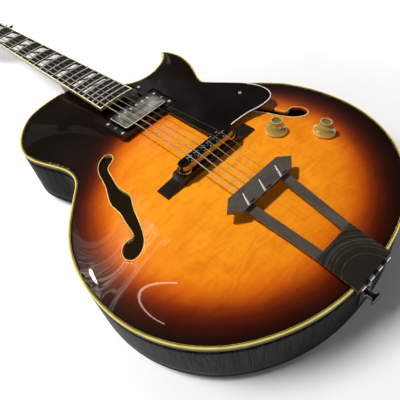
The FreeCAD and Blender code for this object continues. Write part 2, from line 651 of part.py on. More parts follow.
# Tone bars: two spruce bars glued under the top, beside the feet of the bridge.
bar_low = rim - size.plate_thickness
tone_bars = []
for side in (-1, 1):
    middle = side * size.tone_bar_x
    bar = block(at(middle - size.tone_bar_width / 2, size.tone_bar_y, bar_low),
                at(middle + size.tone_bar_width / 2, size.tone_bar_y + size.tone_bar_length, body_top))
    upper = over_top(-(size.plate_thickness + size.tone_bar_gap))
    lower = under_top(-(size.plate_thickness + size.tone_bar_gap + size.tone_bar_height))
    tone_bars.append(bar.cut(upper).cut(lower))
keep(feature("bars", Part.makeCompound(tone_bars)), "tone_bars")

# Binding: a strip round the edge of the top and of the back, and one round each f-hole.
binding_outer = outline()
binding_inner = outline(size.side_thickness)
strips = []
for low, high in ((size.back_arch, rib_low), (rib_high, rim)):
    strips.append(prism(binding_outer, low, high).cut(prism(binding_inner, low, high)))
for side in (-1, 1):
    hole = f_hole_outline(side, size.glue_line)
    lip = f_hole_outline(side, size.f_hole_rim)
    whole = prism(hole, rim - size.plate_thickness, body_top)
    sleeve = whole.cut(prism(lip, rim - size.plate_thickness, body_top))
    strips.append(top_slab.common(sleeve))
keep(feature("strips", Part.makeCompound(strips)), "body_binding")

# Neck: a tapering shaft with a D-shaped section, the heel that stands against the body, its tenon, the
# riser that carries the end of the fingerboard over the top, and the head.
board_end = fret_place(FRET_COUNT) + size.board_end_margin
heel_place = (nut_y - float(size.body_length)) / math.cos(pitch)


def board_width(place):
    share = float(place) / float(board_end)
    return size.board_width_nut + (size.board_width_end - size.board_width_nut) * share


def neck_section(place, width, top, bottom):
    """Flat on top and round below, square to the neck, at a distance from the nut towards the head."""
    left, right, low = at(-width / 2, place, -top), at(width / 2, place, -top), at(0, place, -bottom)
    return wire(Part.LineSegment(left, right).toShape(), Part.Arc(right, low, left).toShape())


def heel_section(level, width, length):
    """Flat against the body and round in front, at a height."""
    half, reach_out = float(width) / 2, float(length)
    turns = [math.pi * step / 8 for step in range(9)]
    rounds = [at(half * math.cos(turn), size.body_length + reach_out * math.sin(turn),
                 level)
              for turn in turns]
    rounds[-1] = at(-half, size.body_length, level)
    return wire(spline(rounds), Part.LineSegment(rounds[-1], rounds[0]).toShape())


def between(low, high, share):
    return low + (high - low) * share


nut_section = neck_section(0, size.board_width_nut, size.board_thickness, size.neck_depth_nut)
nut_end = neck_section(size.nut_thickness, size.board_width_nut, size.board_thickness, size.neck_depth_nut)
throat_end = neck_section(size.throat_length, size.throat_width, size.throat_top, size.throat_depth)
shaft_end = neck_section(-heel_place - float(size.overrun), board_width(heel_place), size.board_thickness,
                         size.neck_depth_heel)
shaft = moved(Part.makeLoft([shaft_end, nut_section], True), neck_frame)
throat = moved(Part.makeLoft([nut_section, nut_end, throat_end], True, True), neck_frame)
heel_low = size.back_arch + size.heel_lift
heel_high = rim + size.heel_overlap
heel = Part.makeLoft([heel_section(between(heel_low, heel_high, level),
                                   between(size.heel_width_bottom, size.heel_width_top, width),
                                   between(size.heel_length_bottom, size.heel_length_top, length))
                      for level, width, length in HEEL_SHARES], True)
beside_heel = block(at(-half_bout, 0, 0), at(half_bout, size.body_length, rim * 2))
beyond_heel = block(at(-half_bout, size.body_length, 0), at(half_bout, size.body_length * 2, rim * 2))
riser = moved(block(at(-size.riser_width / 2, -(board_end - size.riser_setback), -size.neck_depth_heel),
                    at(size.riser_width / 2, -heel_place + float(size.overrun), -size.board_thickness)),
                    neck_frame)
riser = riser.cut(under_top(size.riser_gap)).cut(beyond_heel)


def mirrored_outline(shares, width, length):
    """An outline that is the same on both sides, with a straight foot at its root."""
    sides = [spline([at(side * u * width, v * length, 0) for u, v in shares]) for side in (-1, 1)]
    root = shares[0][0] * width
    return wire(*sides, Part.LineSegment(at(-root, 0, 0), at(root, 0, 0)).toShape())


head_outline = mirrored_outline(HEAD_SHARES, size.head_width, size.head_length)
head_back = -(size.veneer_thickness + size.head_thickness)
head_wood = moved(prism(head_outline, head_back, -size.veneer_thickness), head_frame)
post_places = [(side, size.first_post + size.post_spacing * index) for side in (-1, 1) for index in range(3)]
tuner_frames = [head_frame.multiply(Placement(at(side * size.post_x, place, 0), Rotation()))
                for side, place in post_places]
post_holes = [moved(rod(size.bushing_radius + size.screw_gap, at(0, 0, size.overrun), Vector(0, 0, -1),
                        size.overrun * 2 - head_back), frame) for frame in tuner_frames]
worm_y = size.gear_radius + size.worm_radius + size.mesh_gap
housing_end = worm_y + size.worm_radius + size.mesh_gap + size.housing_wall
tab_y = housing_end + size.housing_tab / 2
tuner_screws = [frame.multiply(Placement(at(0, tab_y, head_back - size.housing_tab_thickness), HEAD_DOWN))
                for frame in tuner_frames]
pocket_floor = -(size.truss_rod_depth + size.truss_nut_radius + size.joint_gap)
truss_pocket = moved(block(at(-size.truss_pocket_width / 2, size.nut_thickness, pocket_floor),
                           at(size.truss_pocket_width / 2, size.nut_thickness + size.truss_pocket_length,
                              size.overrun)), neck_frame)
truss_bore = moved(rod(size.truss_rod_radius + size.joint_gap,
                       at(0, -size.truss_rod_length - size.joint_gap, -size.truss_rod_depth), Vector(0, 1, 0),
                       size.truss_rod_length + size.nut_thickness + size.overrun), neck_frame)
above_head = moved(block(at(-size.head_width, 0, -size.veneer_thickness),
                         at(size.head_width, size.head_length, size.head_length)), head_frame)
neck_shape = shaft.cut(beside_heel).fuse([throat, heel, tenon_box, riser, head_wood]).cut(above_head)
neck_shape = neck_shape.cut(Part.makeCompound(post_holes + [truss_pocket, truss_bore])).removeSplitter()
keep(feature("neck_wood", screwed(neck_shape, tuner_screws + cover_screws)), "neck")

# Truss rod: a steel rod in its channel under the fingerboard, with the adjusting nut at the head.
rod_bar = cylinder("rod_bar", size.truss_rod_radius,
                   size.truss_rod_length + size.nut_thickness + size.joint_gap,
                   (0, -size.truss_rod_length, -size.truss_rod_depth), ALONG_Y)
rod_nut = cylinder("rod_nut", size.truss_nut_radius, size.truss_nut_length,
                   (0, size.nut_thickness + size.joint_gap, -size.truss_rod_depth), ALONG_Y)
keep(fuse("rod_with_nut", rod_bar, rod_nut), "truss_rod", neck_frame)


# Fingerboard: a tapering board, rounded across, with a binding round its sides and end.
def barrel(radius):
    """Long cylinder under the board whose upper side is the board's round top."""
    return rod(radius, at(0, -board_end - size.overrun, -size.board_radius), Vector(0, 1, 0),
               board_end + 2 * size.overrun)


def board_outline(margin):
    wide, narrow = size.board_width_end / 2 - margin, size.board_width_nut / 2 - margin
    far = -board_end + margin
    corners = [at(-narrow, 0, 0), at(narrow, 0, 0), at(wide, far, 0), at(-wide, far, 0)]
    return Part.makePolygon(corners + corners[:1])


board_round = barrel(size.board_radius)
board_blank = prism(board_outline(0), -size.board_thickness, size.overrun).common(board_round)
board_core = prism(board_outline(size.board_binding), -size.board_thickness, size.overrun)
keep(feature("board_edge", board_blank.cut(board_core)), "fingerboard_binding", neck_frame)


# Inlays: a block in two halves, parted by a slant, let into the board before each marked fret.
def inlay_outlines():
    for fret in INLAID_FRETS:
        near, far = fret_place(fret - 1), fret_place(fret)
        middle = (near + far) / 2
        half_length = (far - near) / 2 - size.inlay_length_margin
        half_width = board_width(middle) / 2 - size.board_binding - size.inlay_width_margin
        for shares in INLAY_SHARES:
            corners = [at(u * half_width, v * half_length - middle, 0) for u, v in shares]
            yield Part.makePolygon(corners + corners[:1])


inlay_prisms = Part.makeCompound([prism(corners, -size.board_thickness, size.overrun)
                                  for corners in inlay_outlines()])
inlay_skin = board_round.cut(barrel(size.board_radius - size.inlay_thickness))
pocket_core = barrel(size.board_radius - size.inlay_thickness - size.inlay_slot)
keep(feature("board_inlays", inlay_prisms.common(inlay_skin)), "position_inlays", neck_frame)
keep(feature("board", board_blank.common(board_core).cut(inlay_prisms.cut(pocket_core))), "fingerboard",
     neck_frame)

# Frets: round-backed wires across the board, from binding to binding.
fret_blocks = []
for number in range(1, FRET_COUNT + 1):
    place = fret_place(number)
    half_width = board_width(place) / 2 - size.board_binding
    fret_blocks.append(block(at(-half_width, -place - size.fret_width / 2, -size.board_thickness),
                             at(half_width, -place + size.fret_width / 2, size.overrun)))
fret_skin = barrel(size.board_radius + size.fret_height).cut(barrel(size.board_radius + size.inlay_slot))
keep(feature("fret_wires", Part.makeCompound(fret_blocks).common(fret_skin)), "frets", neck_frame)

# String routes. Each string runs from its ball in the tailpiece over its saddle and the nut to its post.
gauges = [getattr(size, "string_gauge_%d" % (number + 1)) for number in range(STRING_COUNT)]
bridge_y = nut_y - float(size.scale_length) * math.cos(pitch) - float(size.bridge_compensation)
bar_rear = size.bar_reach - size.bar_width / 2
bar_level = size.barrel_radius + size.bar_thickness / 2
ball_place = bar_rear + size.bar_socket_depth - size.string_rest_gap - size.ball_length
POST_ORDER = [0, 1, 2, 5, 4, 3]


def fan(spread, number):
    return spread * ((number - (STRING_COUNT - 1) / 2) / (STRING_COUNT - 1))


def string_route(number):
    """Ball, saddle and nut points of a string, then where it meets its post and how it turns there."""
    tuner = tuner_frames[POST_ORDER[number]]
    sense = -post_places[POST_ORDER[number]][0]
    bridge_x = fan(size.string_spread_bridge, number)
    ball = tail_frame.multVec(at(bridge_x, ball_place, bar_level))
    saddle = at(bridge_x, bridge_y, rim + size.string_height_bridge)
    nut = neck_frame.multVec(at(fan(size.string_spread_nut, number), 0, size.string_height_nut))
    radius = float(size.post_waist_radius + size.string_rest_gap + gauges[number] / 2)
    seen = tuner.inverse().multVec(nut)
    heading = math.atan2(-seen.y, -seen.x) - sense * math.asin(radius / math.hypot(seen.x, seen.y))
    touch = at(sense * radius * math.sin(heading), -sense * radius * math.cos(heading), size.coil_top)
    return SimpleNamespace(ball=ball, saddle=saddle, nut=nut, touch=tuner.multVec(touch), tuner=tuner,
                           sense=sense, radius=radius, start=math.atan2(touch.y, touch.x))


routes = [string_route(number) for number in range(STRING_COUNT)]

# Nut: a bone strip across the end of the board, with a slot for each string that falls towards the head.
slots = []
for route, gauge in zip(routes, gauges):
    reach_out = float(gauge / 2 + size.string_rest_gap)
    slot = block(at(-reach_out, -size.overrun, -reach_out),
                 at(reach_out, size.nut_thickness * 2, size.nut_thickness))
    slots.append(moved(slot, Placement(route.nut, Rotation(Vector(0, 1, 0), route.touch - route.nut))))
nut_block = box("nut_block", size.board_width_nut, size.nut_thickness, size.board_thickness + size.nut_crown,
                (-size.board_width_nut / 2, 0, -size.board_thickness))
nut_slots = feature("nut_slots", moved(Part.makeCompound(slots), neck_frame.inverse()))
keep(cut("nut_strip", nut_block, nut_slots), "nut", neck_frame)

# Head veneer and the small plate that covers the end of the truss rod.
under_nut = moved(block(at(-size.board_width_nut, -size.board_width_nut, -size.neck_depth_nut),
                        at(size.board_width_nut, size.nut_thickness, size.neck_depth_nut)), neck_frame)
veneer = moved(prism(head_outline, -size.veneer_thickness, 0), head_frame)
veneer = screwed(veneer.cut(Part.makeCompound(post_holes + [truss_pocket, under_nut])), cover_screws)
keep(feature("veneer", veneer), "head_veneer")
cover_points = [(u * size.cover_width / 2, size.cover_setback + v * size.cover_length)
                for u, v in COVER_SHARES]
cover_plate = padded("cover_plate", cover_points, size.cover_thickness)
cover_hole = feature("cover_hole", moved(Part.makeCompound(screw_holes(cover_screws)), head_frame.inverse()))
keep(cut("cover", cover_plate, cover_hole), "truss_rod_cover", head_frame)


# Tuners. A worm on each button's shaft turns the gear on the post; a housing under the head holds both.
def notched(radius, depth, count):
    """Ring of teeth as a closed outline."""
    corners = []
    for step in range(count):
        for share, inset in ((-0.18, 0), (0.18, 0), (0.32, depth), (0.68, depth)):
            turn = 2 * math.pi * (step + share) / count
            corners.append(at((radius - inset) * math.cos(turn), (radius - inset) * math.sin(turn), 0))
    return Part.makePolygon(corners + corners[:1])


gear_top = head_back - size.housing_wall - size.joint_gap
gear_low = gear_top - size.gear_thickness
worm_z = (gear_top + gear_low) / 2
housing_low = head_back - size.housing_depth
button_x = size.button_reach - size.post_x


def housing(side):
    """Closed case with a tab for its screw, hollow round the gear and the worm."""
    half = size.housing_width / 2
    case = block(at(-half, -half, housing_low), at(half, housing_end, head_back))
    tab = block(at(-size.housing_tab / 2, housing_end, head_back - size.housing_tab_thickness),
                at(size.housing_tab / 2, housing_end + size.housing_tab, head_back))
    gear_room = rod(size.gear_radius + size.mesh_gap, at(0, 0, gear_top + size.joint_gap), Vector(0, 0, -1),
                    size.gear_thickness + 2 * size.joint_gap)
    post_room = rod(size.post_radius + size.running_gap, at(0, 0, size.overrun), Vector(0, 0, -1),
                    size.overrun - gear_top)
    worm_half = size.worm_length / 2 + size.joint_gap
    worm_room = rod(size.worm_radius + size.mesh_gap, at(-worm_half, worm_y, worm_z), Vector(1, 0, 0),
                    worm_half * 2)
    shaft_room = rod(size.worm_shaft_radius + size.running_gap, at(0, worm_y, worm_z), Vector(side, 0, 0),
                     size.housing_width)
    return case.fuse(tab).cut(Part.makeCompound([gear_room, post_room, worm_room, shaft_room]))


def bushing():
    """Flanged sleeve pressed into the head from above."""
    sleeve = rod(size.bushing_radius, at(0, 0, -size.bushing_depth), Vector(0, 0, 1), size.bushing_depth)
    flange = rod(size.bushing_flange, at(0, 0, size.screw_gap), Vector(0, 0, 1), size.bushing_flange_height)
    neck_ring = rod(size.bushing_radius, Vector(), Vector(0, 0, 1), size.bushing_flange_height)
    bore = rod(size.post_radius + size.running_gap, at(0, 0, size.overrun), Vector(0, 0, -1),
               size.bushing_depth + size.overrun * 2)
    return sleeve.fuse([flange, neck_ring]).cut(bore)


cases = [moved(housing(side), frame) for (side, place), frame in zip(post_places, tuner_frames)]
cases = [screwed(case, [screw]) for case, screw in zip(cases, tuner_screws)]
sleeves = [moved(bushing(), frame) for frame in tuner_frames]
keep(feature("cases_and_sleeves", Part.makeCompound(cases + sleeves)), "tuner_housings")
gear_shape = prism(notched(float(size.gear_radius), float(size.gear_tooth), GEAR_TEETH), gear_low, gear_top)
waist_ease = size.post_radius - size.post_waist_radius
post_profile = [(0, gear_low), (size.post_radius, gear_low), (size.post_radius, size.waist_low),
                (size.post_waist_radius, size.waist_low + waist_ease),
                (size.post_waist_radius, size.waist_high - waist_ease), (size.post_radius, size.waist_high),
                (size.post_radius, size.post_height), (0, size.post_height)]
for number, ((side, place), frame) in enumerate(zip(post_places, tuner_frames), start=1):
    spindle = turned("spindle_%d" % number, post_profile)
    gear = feature("gear_%d" % number, gear_shape)
    keep(fuse("post_with_gear_%d" % number, spindle, gear), "string_post_%d" % number, frame)
    worm_end = size.worm_length / 2
    worm = cylinder("worm_%d" % number, size.worm_radius, size.worm_length, (-worm_end, worm_y, worm_z),
                    ALONG_X)
    near_end = worm_end if side < 0 else -worm_end
    shaft_start = -button_x if side < 0 else near_end
    stem = cylinder("stem_%d" % number, size.worm_shaft_radius, button_x + worm_end,
                    (shaft_start, worm_y, worm_z),
                    ALONG_X)
    middle = at(side * button_x, worm_y, worm_z - size.button_thickness / 2)
    oval = Part.Ellipse(middle + at(0, size.button_width / 2, 0), middle + at(size.button_length / 2, 0, 0),
                        middle)
    disc = Part.Face(Part.Wire([oval.toShape()])).extrude(at(0, 0, size.button_thickness))
    disc = disc.makeFillet(float(size.button_edge), [edge for edge in disc.Edges if edge.isClosed()])
    grip = feature("grip_%d" % number, disc)
    keep(fuse("button_with_worm_%d" % number, worm, stem, grip), "tuner_button_%d" % number, frame)


# Strings: six wires, each one unbroken tube with a ball at the tailpiece and its turns round the post.
def bent(start, along, end):
    """Arc that leaves a point along a direction and ends at another point."""
    chord = end - start
    lean = chord.getAngle(along)
    sideways = (along - chord * (along.dot(chord) / chord.dot(chord))).normalize()
    middle = start + chord / 2 + sideways * (chord.Length / 2 * math.tan(lean / 2))
    return Part.Arc(start, middle, end).toShape()


def biarc(start, leaving, end, arriving):
    """Two arcs that join two points with a direction at each."""
    span, lanes = end - start, leaving + arriving
    spread = 2 * (1 - leaving.dot(arriving))
    ahead = span.dot(lanes)
    arm = (math.sqrt(ahead * ahead + spread * span.dot(span)) - ahead) / spread
    meeting = (start + end + (leaving - arriving) * arm) / 2
    return [bent(start, leaving, meeting), bent(end, -arriving, meeting)]


def eased(points, radius_at):
    """Straight runs through points, with a round bend at each inner one, and the end of the last run."""
    edges, here = [], points[0]
    for before, corner, after in zip(points, points[1:], points[2:]):
        arriving, leaving = (corner - before).normalize(), (after - corner).normalize()
        half_turn = arriving.getAngle(leaving) / 2
        arm = radius_at(before, corner, after, half_turn) * math.tan(half_turn)
        first, last = corner - arriving * arm, corner + leaving * arm
        edges += [Part.LineSegment(here, first).toShape(), bent(first, arriving, last)]
        here = last
    return edges + [Part.LineSegment(here, points[-1]).toShape()]


def tube(edges, radius, start, along):
    section = Part.Wire([Part.makeCircle(float(radius), start, along)])
    return Part.Wire(edges).makePipeShell([section], True, False)


def string_bend(before, corner, after, half_turn):
    return float(size.string_bend_radius)


def string_shape(route, gauge):
    """The string, and the least gap between the turns round its post."""
    coil_pitch = float(gauge + size.coil_gap)
    fall = -coil_pitch / (2 * math.pi)
    post_turn = route.tuner.Rotation

    def coil_point(turned_by):
        place = route.start + route.sense * turned_by
        return at(route.radius * math.cos(place), route.radius * math.sin(place),
                  size.coil_top + fall * turned_by)

    def coil_heading(turned_by):
        place = route.start + route.sense * turned_by
        ahead = Vector(-route.sense * route.radius * math.sin(place),
                       route.sense * route.radius * math.cos(place), fall)
        return post_turn.multVec(ahead.normalize())

    edges = eased([route.ball, route.saddle, route.nut, route.touch], string_bend)
    here, heading = route.touch, (route.touch - route.nut).normalize()
    steps = int(STRING_TURNS * 4)
    for step in range(1, steps + 1):
        there = route.tuner.multVec(coil_point(step * math.pi / 2))
        next_heading = coil_heading(step * math.pi / 2)
        edges += biarc(here, heading, there, next_heading)
        here, heading = there, next_heading
    along = (route.saddle - route.ball).normalize()
    wound = tube(edges, gauge / 2, route.ball, along)
    ball = rod(size.ball_radius, route.ball, along, size.ball_length)
    length = sum(edge.Length for edge in edges)
    measured = [point for edge in edges[4:] for point in edge.discretize(24)]
    walked = [0.0]
    for before, point in zip(measured, measured[1:]):
        walked.append(walked[-1] + (point - before).Length)
    apart = math.pi * route.radius
    gap = min((measured[i] - measured[j]).Length for i in range(len(measured)) for j in range(i)
              if walked[i] - walked[j] > apart) - float(gauge)
    share = wound.Volume / (math.pi * float(gauge / 2) ** 2 * length)
    return wound.fuse(ball).removeSplitter(), gap, share, length


string_solids = []
for number, (route, gauge) in enumerate(zip(routes, gauges), start=1):
    solid, gap, share, length = string_shape(route, gauge)
    string_solids.append(solid)
    print("string %d: least gap between turns %.2f mm, volume share %.4f, length %.0f mm"
          % (number, gap, share, length))
keep(feature("six_strings", Part.makeCompound(string_solids)), "strings")


# Pickup: a metal cover over two coils and a magnet on a base plate, held in a sloping ring by two screws.
def cover_box(margin, low, high):
    half_x, half_y = size.pickup_length / 2 - margin, size.pickup_width / 2 - margin
    return block(at(-half_x, -half_y, low), at(half_x, half_y, high))


pole_places = [(fan(size.pole_spacing * (STRING_COUNT - 1), number),
                size.pole_row)
               for number in range(STRING_COUNT)]


def pole_rods(radius, high, length):
    return [rod(radius, at(x, y, high), Vector(0, 0, -1), length) for x, y in pole_places]


shell = cover_box(0, -size.pickup_height, 0)
uprights = [edge for edge in shell.Edges if abs(edge.tangentAt(edge.FirstParameter).z) > 0.9]
shell = shell.makeFillet(float(size.pickup_corner), uprights)
upper_rim = [edge for edge in shell.Edges
             if abs(edge.BoundBox.ZMin) + abs(edge.BoundBox.ZMax) < float(size.pickup_gap)]
shell = shell.makeFillet(float(size.pickup_wall), upper_rim)
hollow = cover_box(size.pickup_wall, -size.pickup_height - size.overrun, -size.pickup_wall)
hollow_corners = [edge for edge in hollow.Edges if abs(edge.tangentAt(edge.FirstParameter).z) > 0.9]
hollow = hollow.makeFillet(float(size.pickup_corner - size.pickup_wall), hollow_corners)
pole_holes = Part.makeCompound(pole_rods(size.pole_radius + size.screw_gap, size.overrun,
                                         size.pole_length * 2))
keep(feature("cover_shell", shell.cut(hollow).cut(pole_holes)), "pickup_cover", pickup_frame)
coil_top_z = -size.pickup_wall - size.glue_line
coil_low = coil_top_z - size.coil_height
coils = [box("coil_%s" % side, size.coil_length, size.coil_width, size.coil_height,
             (-size.coil_length / 2, middle - size.coil_width / 2, coil_low))
         for side, middle in (("bridge", -size.pole_row), ("neck", size.pole_row))]
neck_coil = cut("wound_neck_coil", coils[1], feature("coil_holes", pole_holes))
magnet = box("magnet", size.magnet_length, size.magnet_width, size.magnet_height,
             (-size.magnet_length / 2, -size.magnet_width / 2,
              coil_low - size.glue_line - size.magnet_height))
keep(group("coils_and_magnet", coils[0], neck_coil, magnet), "pickup_coils", pickup_frame)
poles = [cylinder("pole_%d" % number, size.pole_radius, size.pole_length,
                  (x, y, size.pole_proud - size.pole_length))
         for number, (x, y) in enumerate(pole_places, start=1)]
keep(group("poles", *poles), "pole_screws", pickup_frame)
plate_top = -size.pickup_height - size.glue_line
plate_low = plate_top - size.base_plate_thickness
base_plate = fuse("base_plate",
                  box("base_sheet", size.pickup_length, size.pickup_width, size.base_plate_thickness,
                      (-size.pickup_length / 2, -size.pickup_width / 2, plate_low)),
                  box("base_ears", size.ear_length, size.ear_width, size.base_plate_thickness,
                      (-size.ear_length / 2, -size.ear_width / 2, plate_low)))
ear_holes = [cylinder("ear_hole_%s" % name, size.height_screw_radius + size.running_gap, size.pickup_height,
                      (side * size.height_screw_x, 0, -size.pickup_height * 3 / 2))
             for name, side in (("bass", -1), ("treble", 1))]
keep(cut("drilled_plate", base_plate, fuse("ear_holes", *ear_holes)), "pickup_baseplate", pickup_frame)
screw_seat = -(size.pickup_top - ring_screw_level) + size.joint_gap


def height_screw(name, side):
    head = cylinder("head_" + name, size.height_screw_head, size.height_screw_head_height,
                    (side * size.height_screw_x, 0, screw_seat))
    shank = cylinder("shank_" + name, size.height_screw_radius, size.height_screw_length,
                     (side * size.height_screw_x, 0, screw_seat - size.height_screw_length))
    return fuse("height_screw_" + name, head, shank)


keep(group("height_screws", height_screw("bass", -1), height_screw("treble", 1)), "pickup_height_screws",
     pickup_frame)

# Pickup ring: a plastic frame on the top, higher towards the bridge, hollowed underneath to fit the arch.
ring_near, ring_far = size.pickup_y - size.ring_width / 2, size.pickup_y + size.ring_width / 2
ring_side = [at(-size.ring_length / 2, y, rim + z)
             for y, z in ((ring_near, size.ring_floor), (ring_far, size.ring_floor),
                          (ring_far, size.ring_low),
                          (ring_near, size.ring_high))]
ring_blank = Part.Face(Part.makePolygon(ring_side + ring_side[:1])).extrude(at(size.ring_length, 0, 0))
ring_corners = [edge for edge in ring_blank.Edges if abs(edge.tangentAt(edge.FirstParameter).z) > 0.9]
ring_blank = ring_blank.makeFillet(float(size.ring_corner), ring_corners)
ring_hole = cover_box(-size.pickup_gap, -size.pickup_height * 2, size.pickup_height)
ring_hole_corners = [edge for edge in ring_hole.Edges if abs(edge.tangentAt(edge.FirstParameter).z) > 0.9]
ring_hole = ring_hole.makeFillet(float(size.pickup_corner + size.pickup_gap), ring_hole_corners)
ring_bores = [rod(size.height_screw_radius + size.running_gap, at(side * size.height_screw_x, 0, 0),
                  Vector(0, 0, -1),
                  size.height_screw_length) for side in (-1, 1)]
ring_shape = ring_blank.cut(moved(Part.makeCompound([ring_hole] + ring_bores), pickup_frame))
ring_shape = screwed(ring_shape.cut(under_top(size.glue_line)), ring_screws)
keep(feature("ring", ring_shape), "pickup_ring")

# Bridge base: a wooden foot shaped to the arched top, with a raised platform for the two posts.
bridge_frame = Placement(Vector(0, bridge_y, float(rim)), Rotation())
half_base, half_platform = size.bridge_base_length / 2, size.bridge_platform / 2
foot_end = size.bridge_foot_height - size.bridge_foot_fall
base_points = [(-half_base, size.bridge_floor), (half_base, size.bridge_floor), (half_base, foot_end),
               (half_platform + size.bridge_step, size.bridge_foot_height),
               (half_platform, size.bridge_platform_height), (-half_platform, size.bridge_platform_height),
               (-half_platform - size.bridge_step, size.bridge_foot_height), (-half_base, foot_end)]
base_blank = padded("base_blank", base_points, size.bridge_base_width, "XZ_Plane", True)
below_bridge = feature("below_bridge", moved(under_top(size.glue_line), bridge_frame.inverse()))
base_foot = cut("base_foot", base_blank, below_bridge)
post_low = size.bridge_platform_height - size.bridge_post_sink
post_bores = [cylinder("post_bore_" + name, size.bridge_post_radius + size.screw_gap,
                       size.bridge_post_sink * 2,
                       (side * size.bridge_post_x, 0, post_low))
              for name, side in (("bass", -1), ("treble", 1))]
keep(cut("bored_foot", base_foot, fuse("post_bores", *post_bores)), "bridge_base", bridge_frame)
posts = [cylinder("bridge_post_" + name, size.bridge_post_radius,
                  size.bridge_post_sink + size.bridge_post_proud,
                  (side * size.bridge_post_x, 0, post_low)) for name, side in (("bass", -1), ("treble", 1))]
keep(group("posts", *posts), "bridge_posts", bridge_frame)

# Thumbwheels: knurled nuts on the posts that carry the bridge body and set its height.
wheel_low = size.bridge_platform_height + size.thumbwheel_gap
for name, side in (("bass", -1), ("treble", 1)):
    rim_of_wheel = notched(float(size.thumbwheel_radius), float(size.thumbwheel_groove), WHEEL_GROOVES)
    disc = feature("wheel_" + name, prism(rim_of_wheel, 0, size.thumbwheel_height))
    thread = cylinder("wheel_thread_" + name, size.bridge_post_radius + size.running_gap,
                      size.thumbwheel_height)
    wheel_frame = bridge_frame.multiply(Placement(at(side * size.bridge_post_x, 0, wheel_low), Rotation()))
    keep(cut("thumbwheel_" + name, disc, thread), "thumbwheel_" + name, wheel_frame)

# Bridge body: a metal bar with rounded ends and a long pocket, in which six saddles slide on screws.
body_low = wheel_low + size.thumbwheel_height + size.thumbwheel_clear
body_high = body_low + size.bridge_body_height
half_depth = size.bridge_body_width / 2
straight = size.bridge_body_length - size.bridge_body_width
pocket_low = body_high - size.bridge_pocket_depth
saddle_screw_z = body_high - size.saddle_screw_drop
saddle_places = [fan(size.string_spread_bridge, number) for number in range(STRING_COUNT)]
bar_of_body = fuse("bar_of_body",
                   box("body_bar", straight, size.bridge_body_width, size.bridge_body_height,
                       (-straight / 2, -half_depth, body_low)),
                   cylinder("body_end_bass", half_depth, size.bridge_body_height,
                            (-straight / 2, 0, body_low)),
                   cylinder("body_end_treble", half_depth, size.bridge_body_height,
                            (straight / 2, 0, body_low)))
body_pocket = box("body_pocket", size.bridge_pocket_length, size.bridge_pocket_width,
                  size.bridge_pocket_depth * 2,
                  (-size.bridge_pocket_length / 2, -size.bridge_pocket_width / 2, pocket_low))
body_bores = [cylinder("body_bore_" + name, size.bridge_post_radius + size.running_gap,
                       size.bridge_body_height * 3,
                       (side * size.bridge_post_x, 0, body_low - size.bridge_body_height))
              for name, side in (("bass", -1), ("treble", 1))]
screw_bores = [cylinder("screw_bore_%d" % number, size.saddle_screw_radius + size.screw_gap,
                        size.bridge_body_width * 2, (x, -size.bridge_body_width, saddle_screw_z), ALONG_Y)
               for number, x in enumerate(saddle_places, start=1)]
keep(cut("hollowed_bar", bar_of_body, fuse("body_hollows", body_pocket, *body_bores, *screw_bores)),
     "bridge_body",
     bridge_frame)
half_saddle, half_ridge = size.saddle_thickness / 2, size.saddle_ridge / 4
saddle_low = pocket_low + size.saddle_gap
for number, (x, gauge) in enumerate(zip(saddle_places, gauges), start=1):
    crest = size.string_height_bridge - gauge / 2 - size.string_rest_gap
    shoulder = crest - size.saddle_ridge
    saddle_points = [(-half_saddle, saddle_low), (half_saddle, saddle_low), (half_saddle, shoulder),
                     (half_ridge, crest), (-half_ridge, crest), (-half_saddle, shoulder)]
    blank = padded("saddle_blank_%d" % number, saddle_points, size.saddle_width, "YZ_Plane", True)
    thread = cylinder("saddle_thread_%d" % number, size.saddle_screw_radius + size.running_gap,
                      size.saddle_thickness * 2, (0, -size.saddle_thickness, saddle_screw_z), ALONG_Y)
    keep(cut("saddle_cut_%d" % number, blank, thread), "saddle_%d" % number,
         bridge_frame.multiply(Placement(at(x, 0, 0), Rotation())))
saddle_screws = []
for number, x in enumerate(saddle_places, start=1):
    shank = cylinder("saddle_shank_%d" % number, size.saddle_screw_radius,
                     size.bridge_body_width + size.joint_gap,
                     (x, -half_depth, saddle_screw_z), ALONG_Y)
    head = cylinder("saddle_head_%d" % number, size.saddle_screw_head, size.saddle_screw_head_height,
                    (x, half_depth + size.joint_gap, saddle_screw_z), ALONG_Y)
    saddle_screws.append(fuse("saddle_screw_%d" % number, shank, head))
keep(group("saddle_screw_set", *saddle_screws), "saddle_screws", bridge_frame)

# Tailpiece: a forked frame hinged to a plate on the tail of the body, with a six-sided bar across its arms
# that holds the balls of the strings.
half_frame, arm_inner = size.frame_width / 2, size.frame_width / 2 - size.arm_width
fork_points = [(-half_frame, 0), (half_frame, 0), (half_frame, size.frame_base_length),
               (half_frame + size.arm_splay, size.frame_length),
               (arm_inner + size.arm_splay, size.frame_length),
               (arm_inner, size.frame_base_length), (-arm_inner, size.frame_base_length),
               (-arm_inner - size.arm_splay, size.frame_length),
               (-half_frame - size.arm_splay, size.frame_length),
               (-half_frame, size.frame_base_length)]
knuckle_length = size.hinge_width / KNUCKLES


def knuckles(name, remainder, radius, margin):
    """Every second knuckle of the hinge, from the first or from the second one."""
    return [cylinder("%s_%d" % (name, index), radius, knuckle_length - 2 * margin,
                     (-size.hinge_width / 2 + knuckle_length * index + margin, 0, 0), ALONG_X)
            for index in range(KNUCKLES) if index % 2 == remainder]


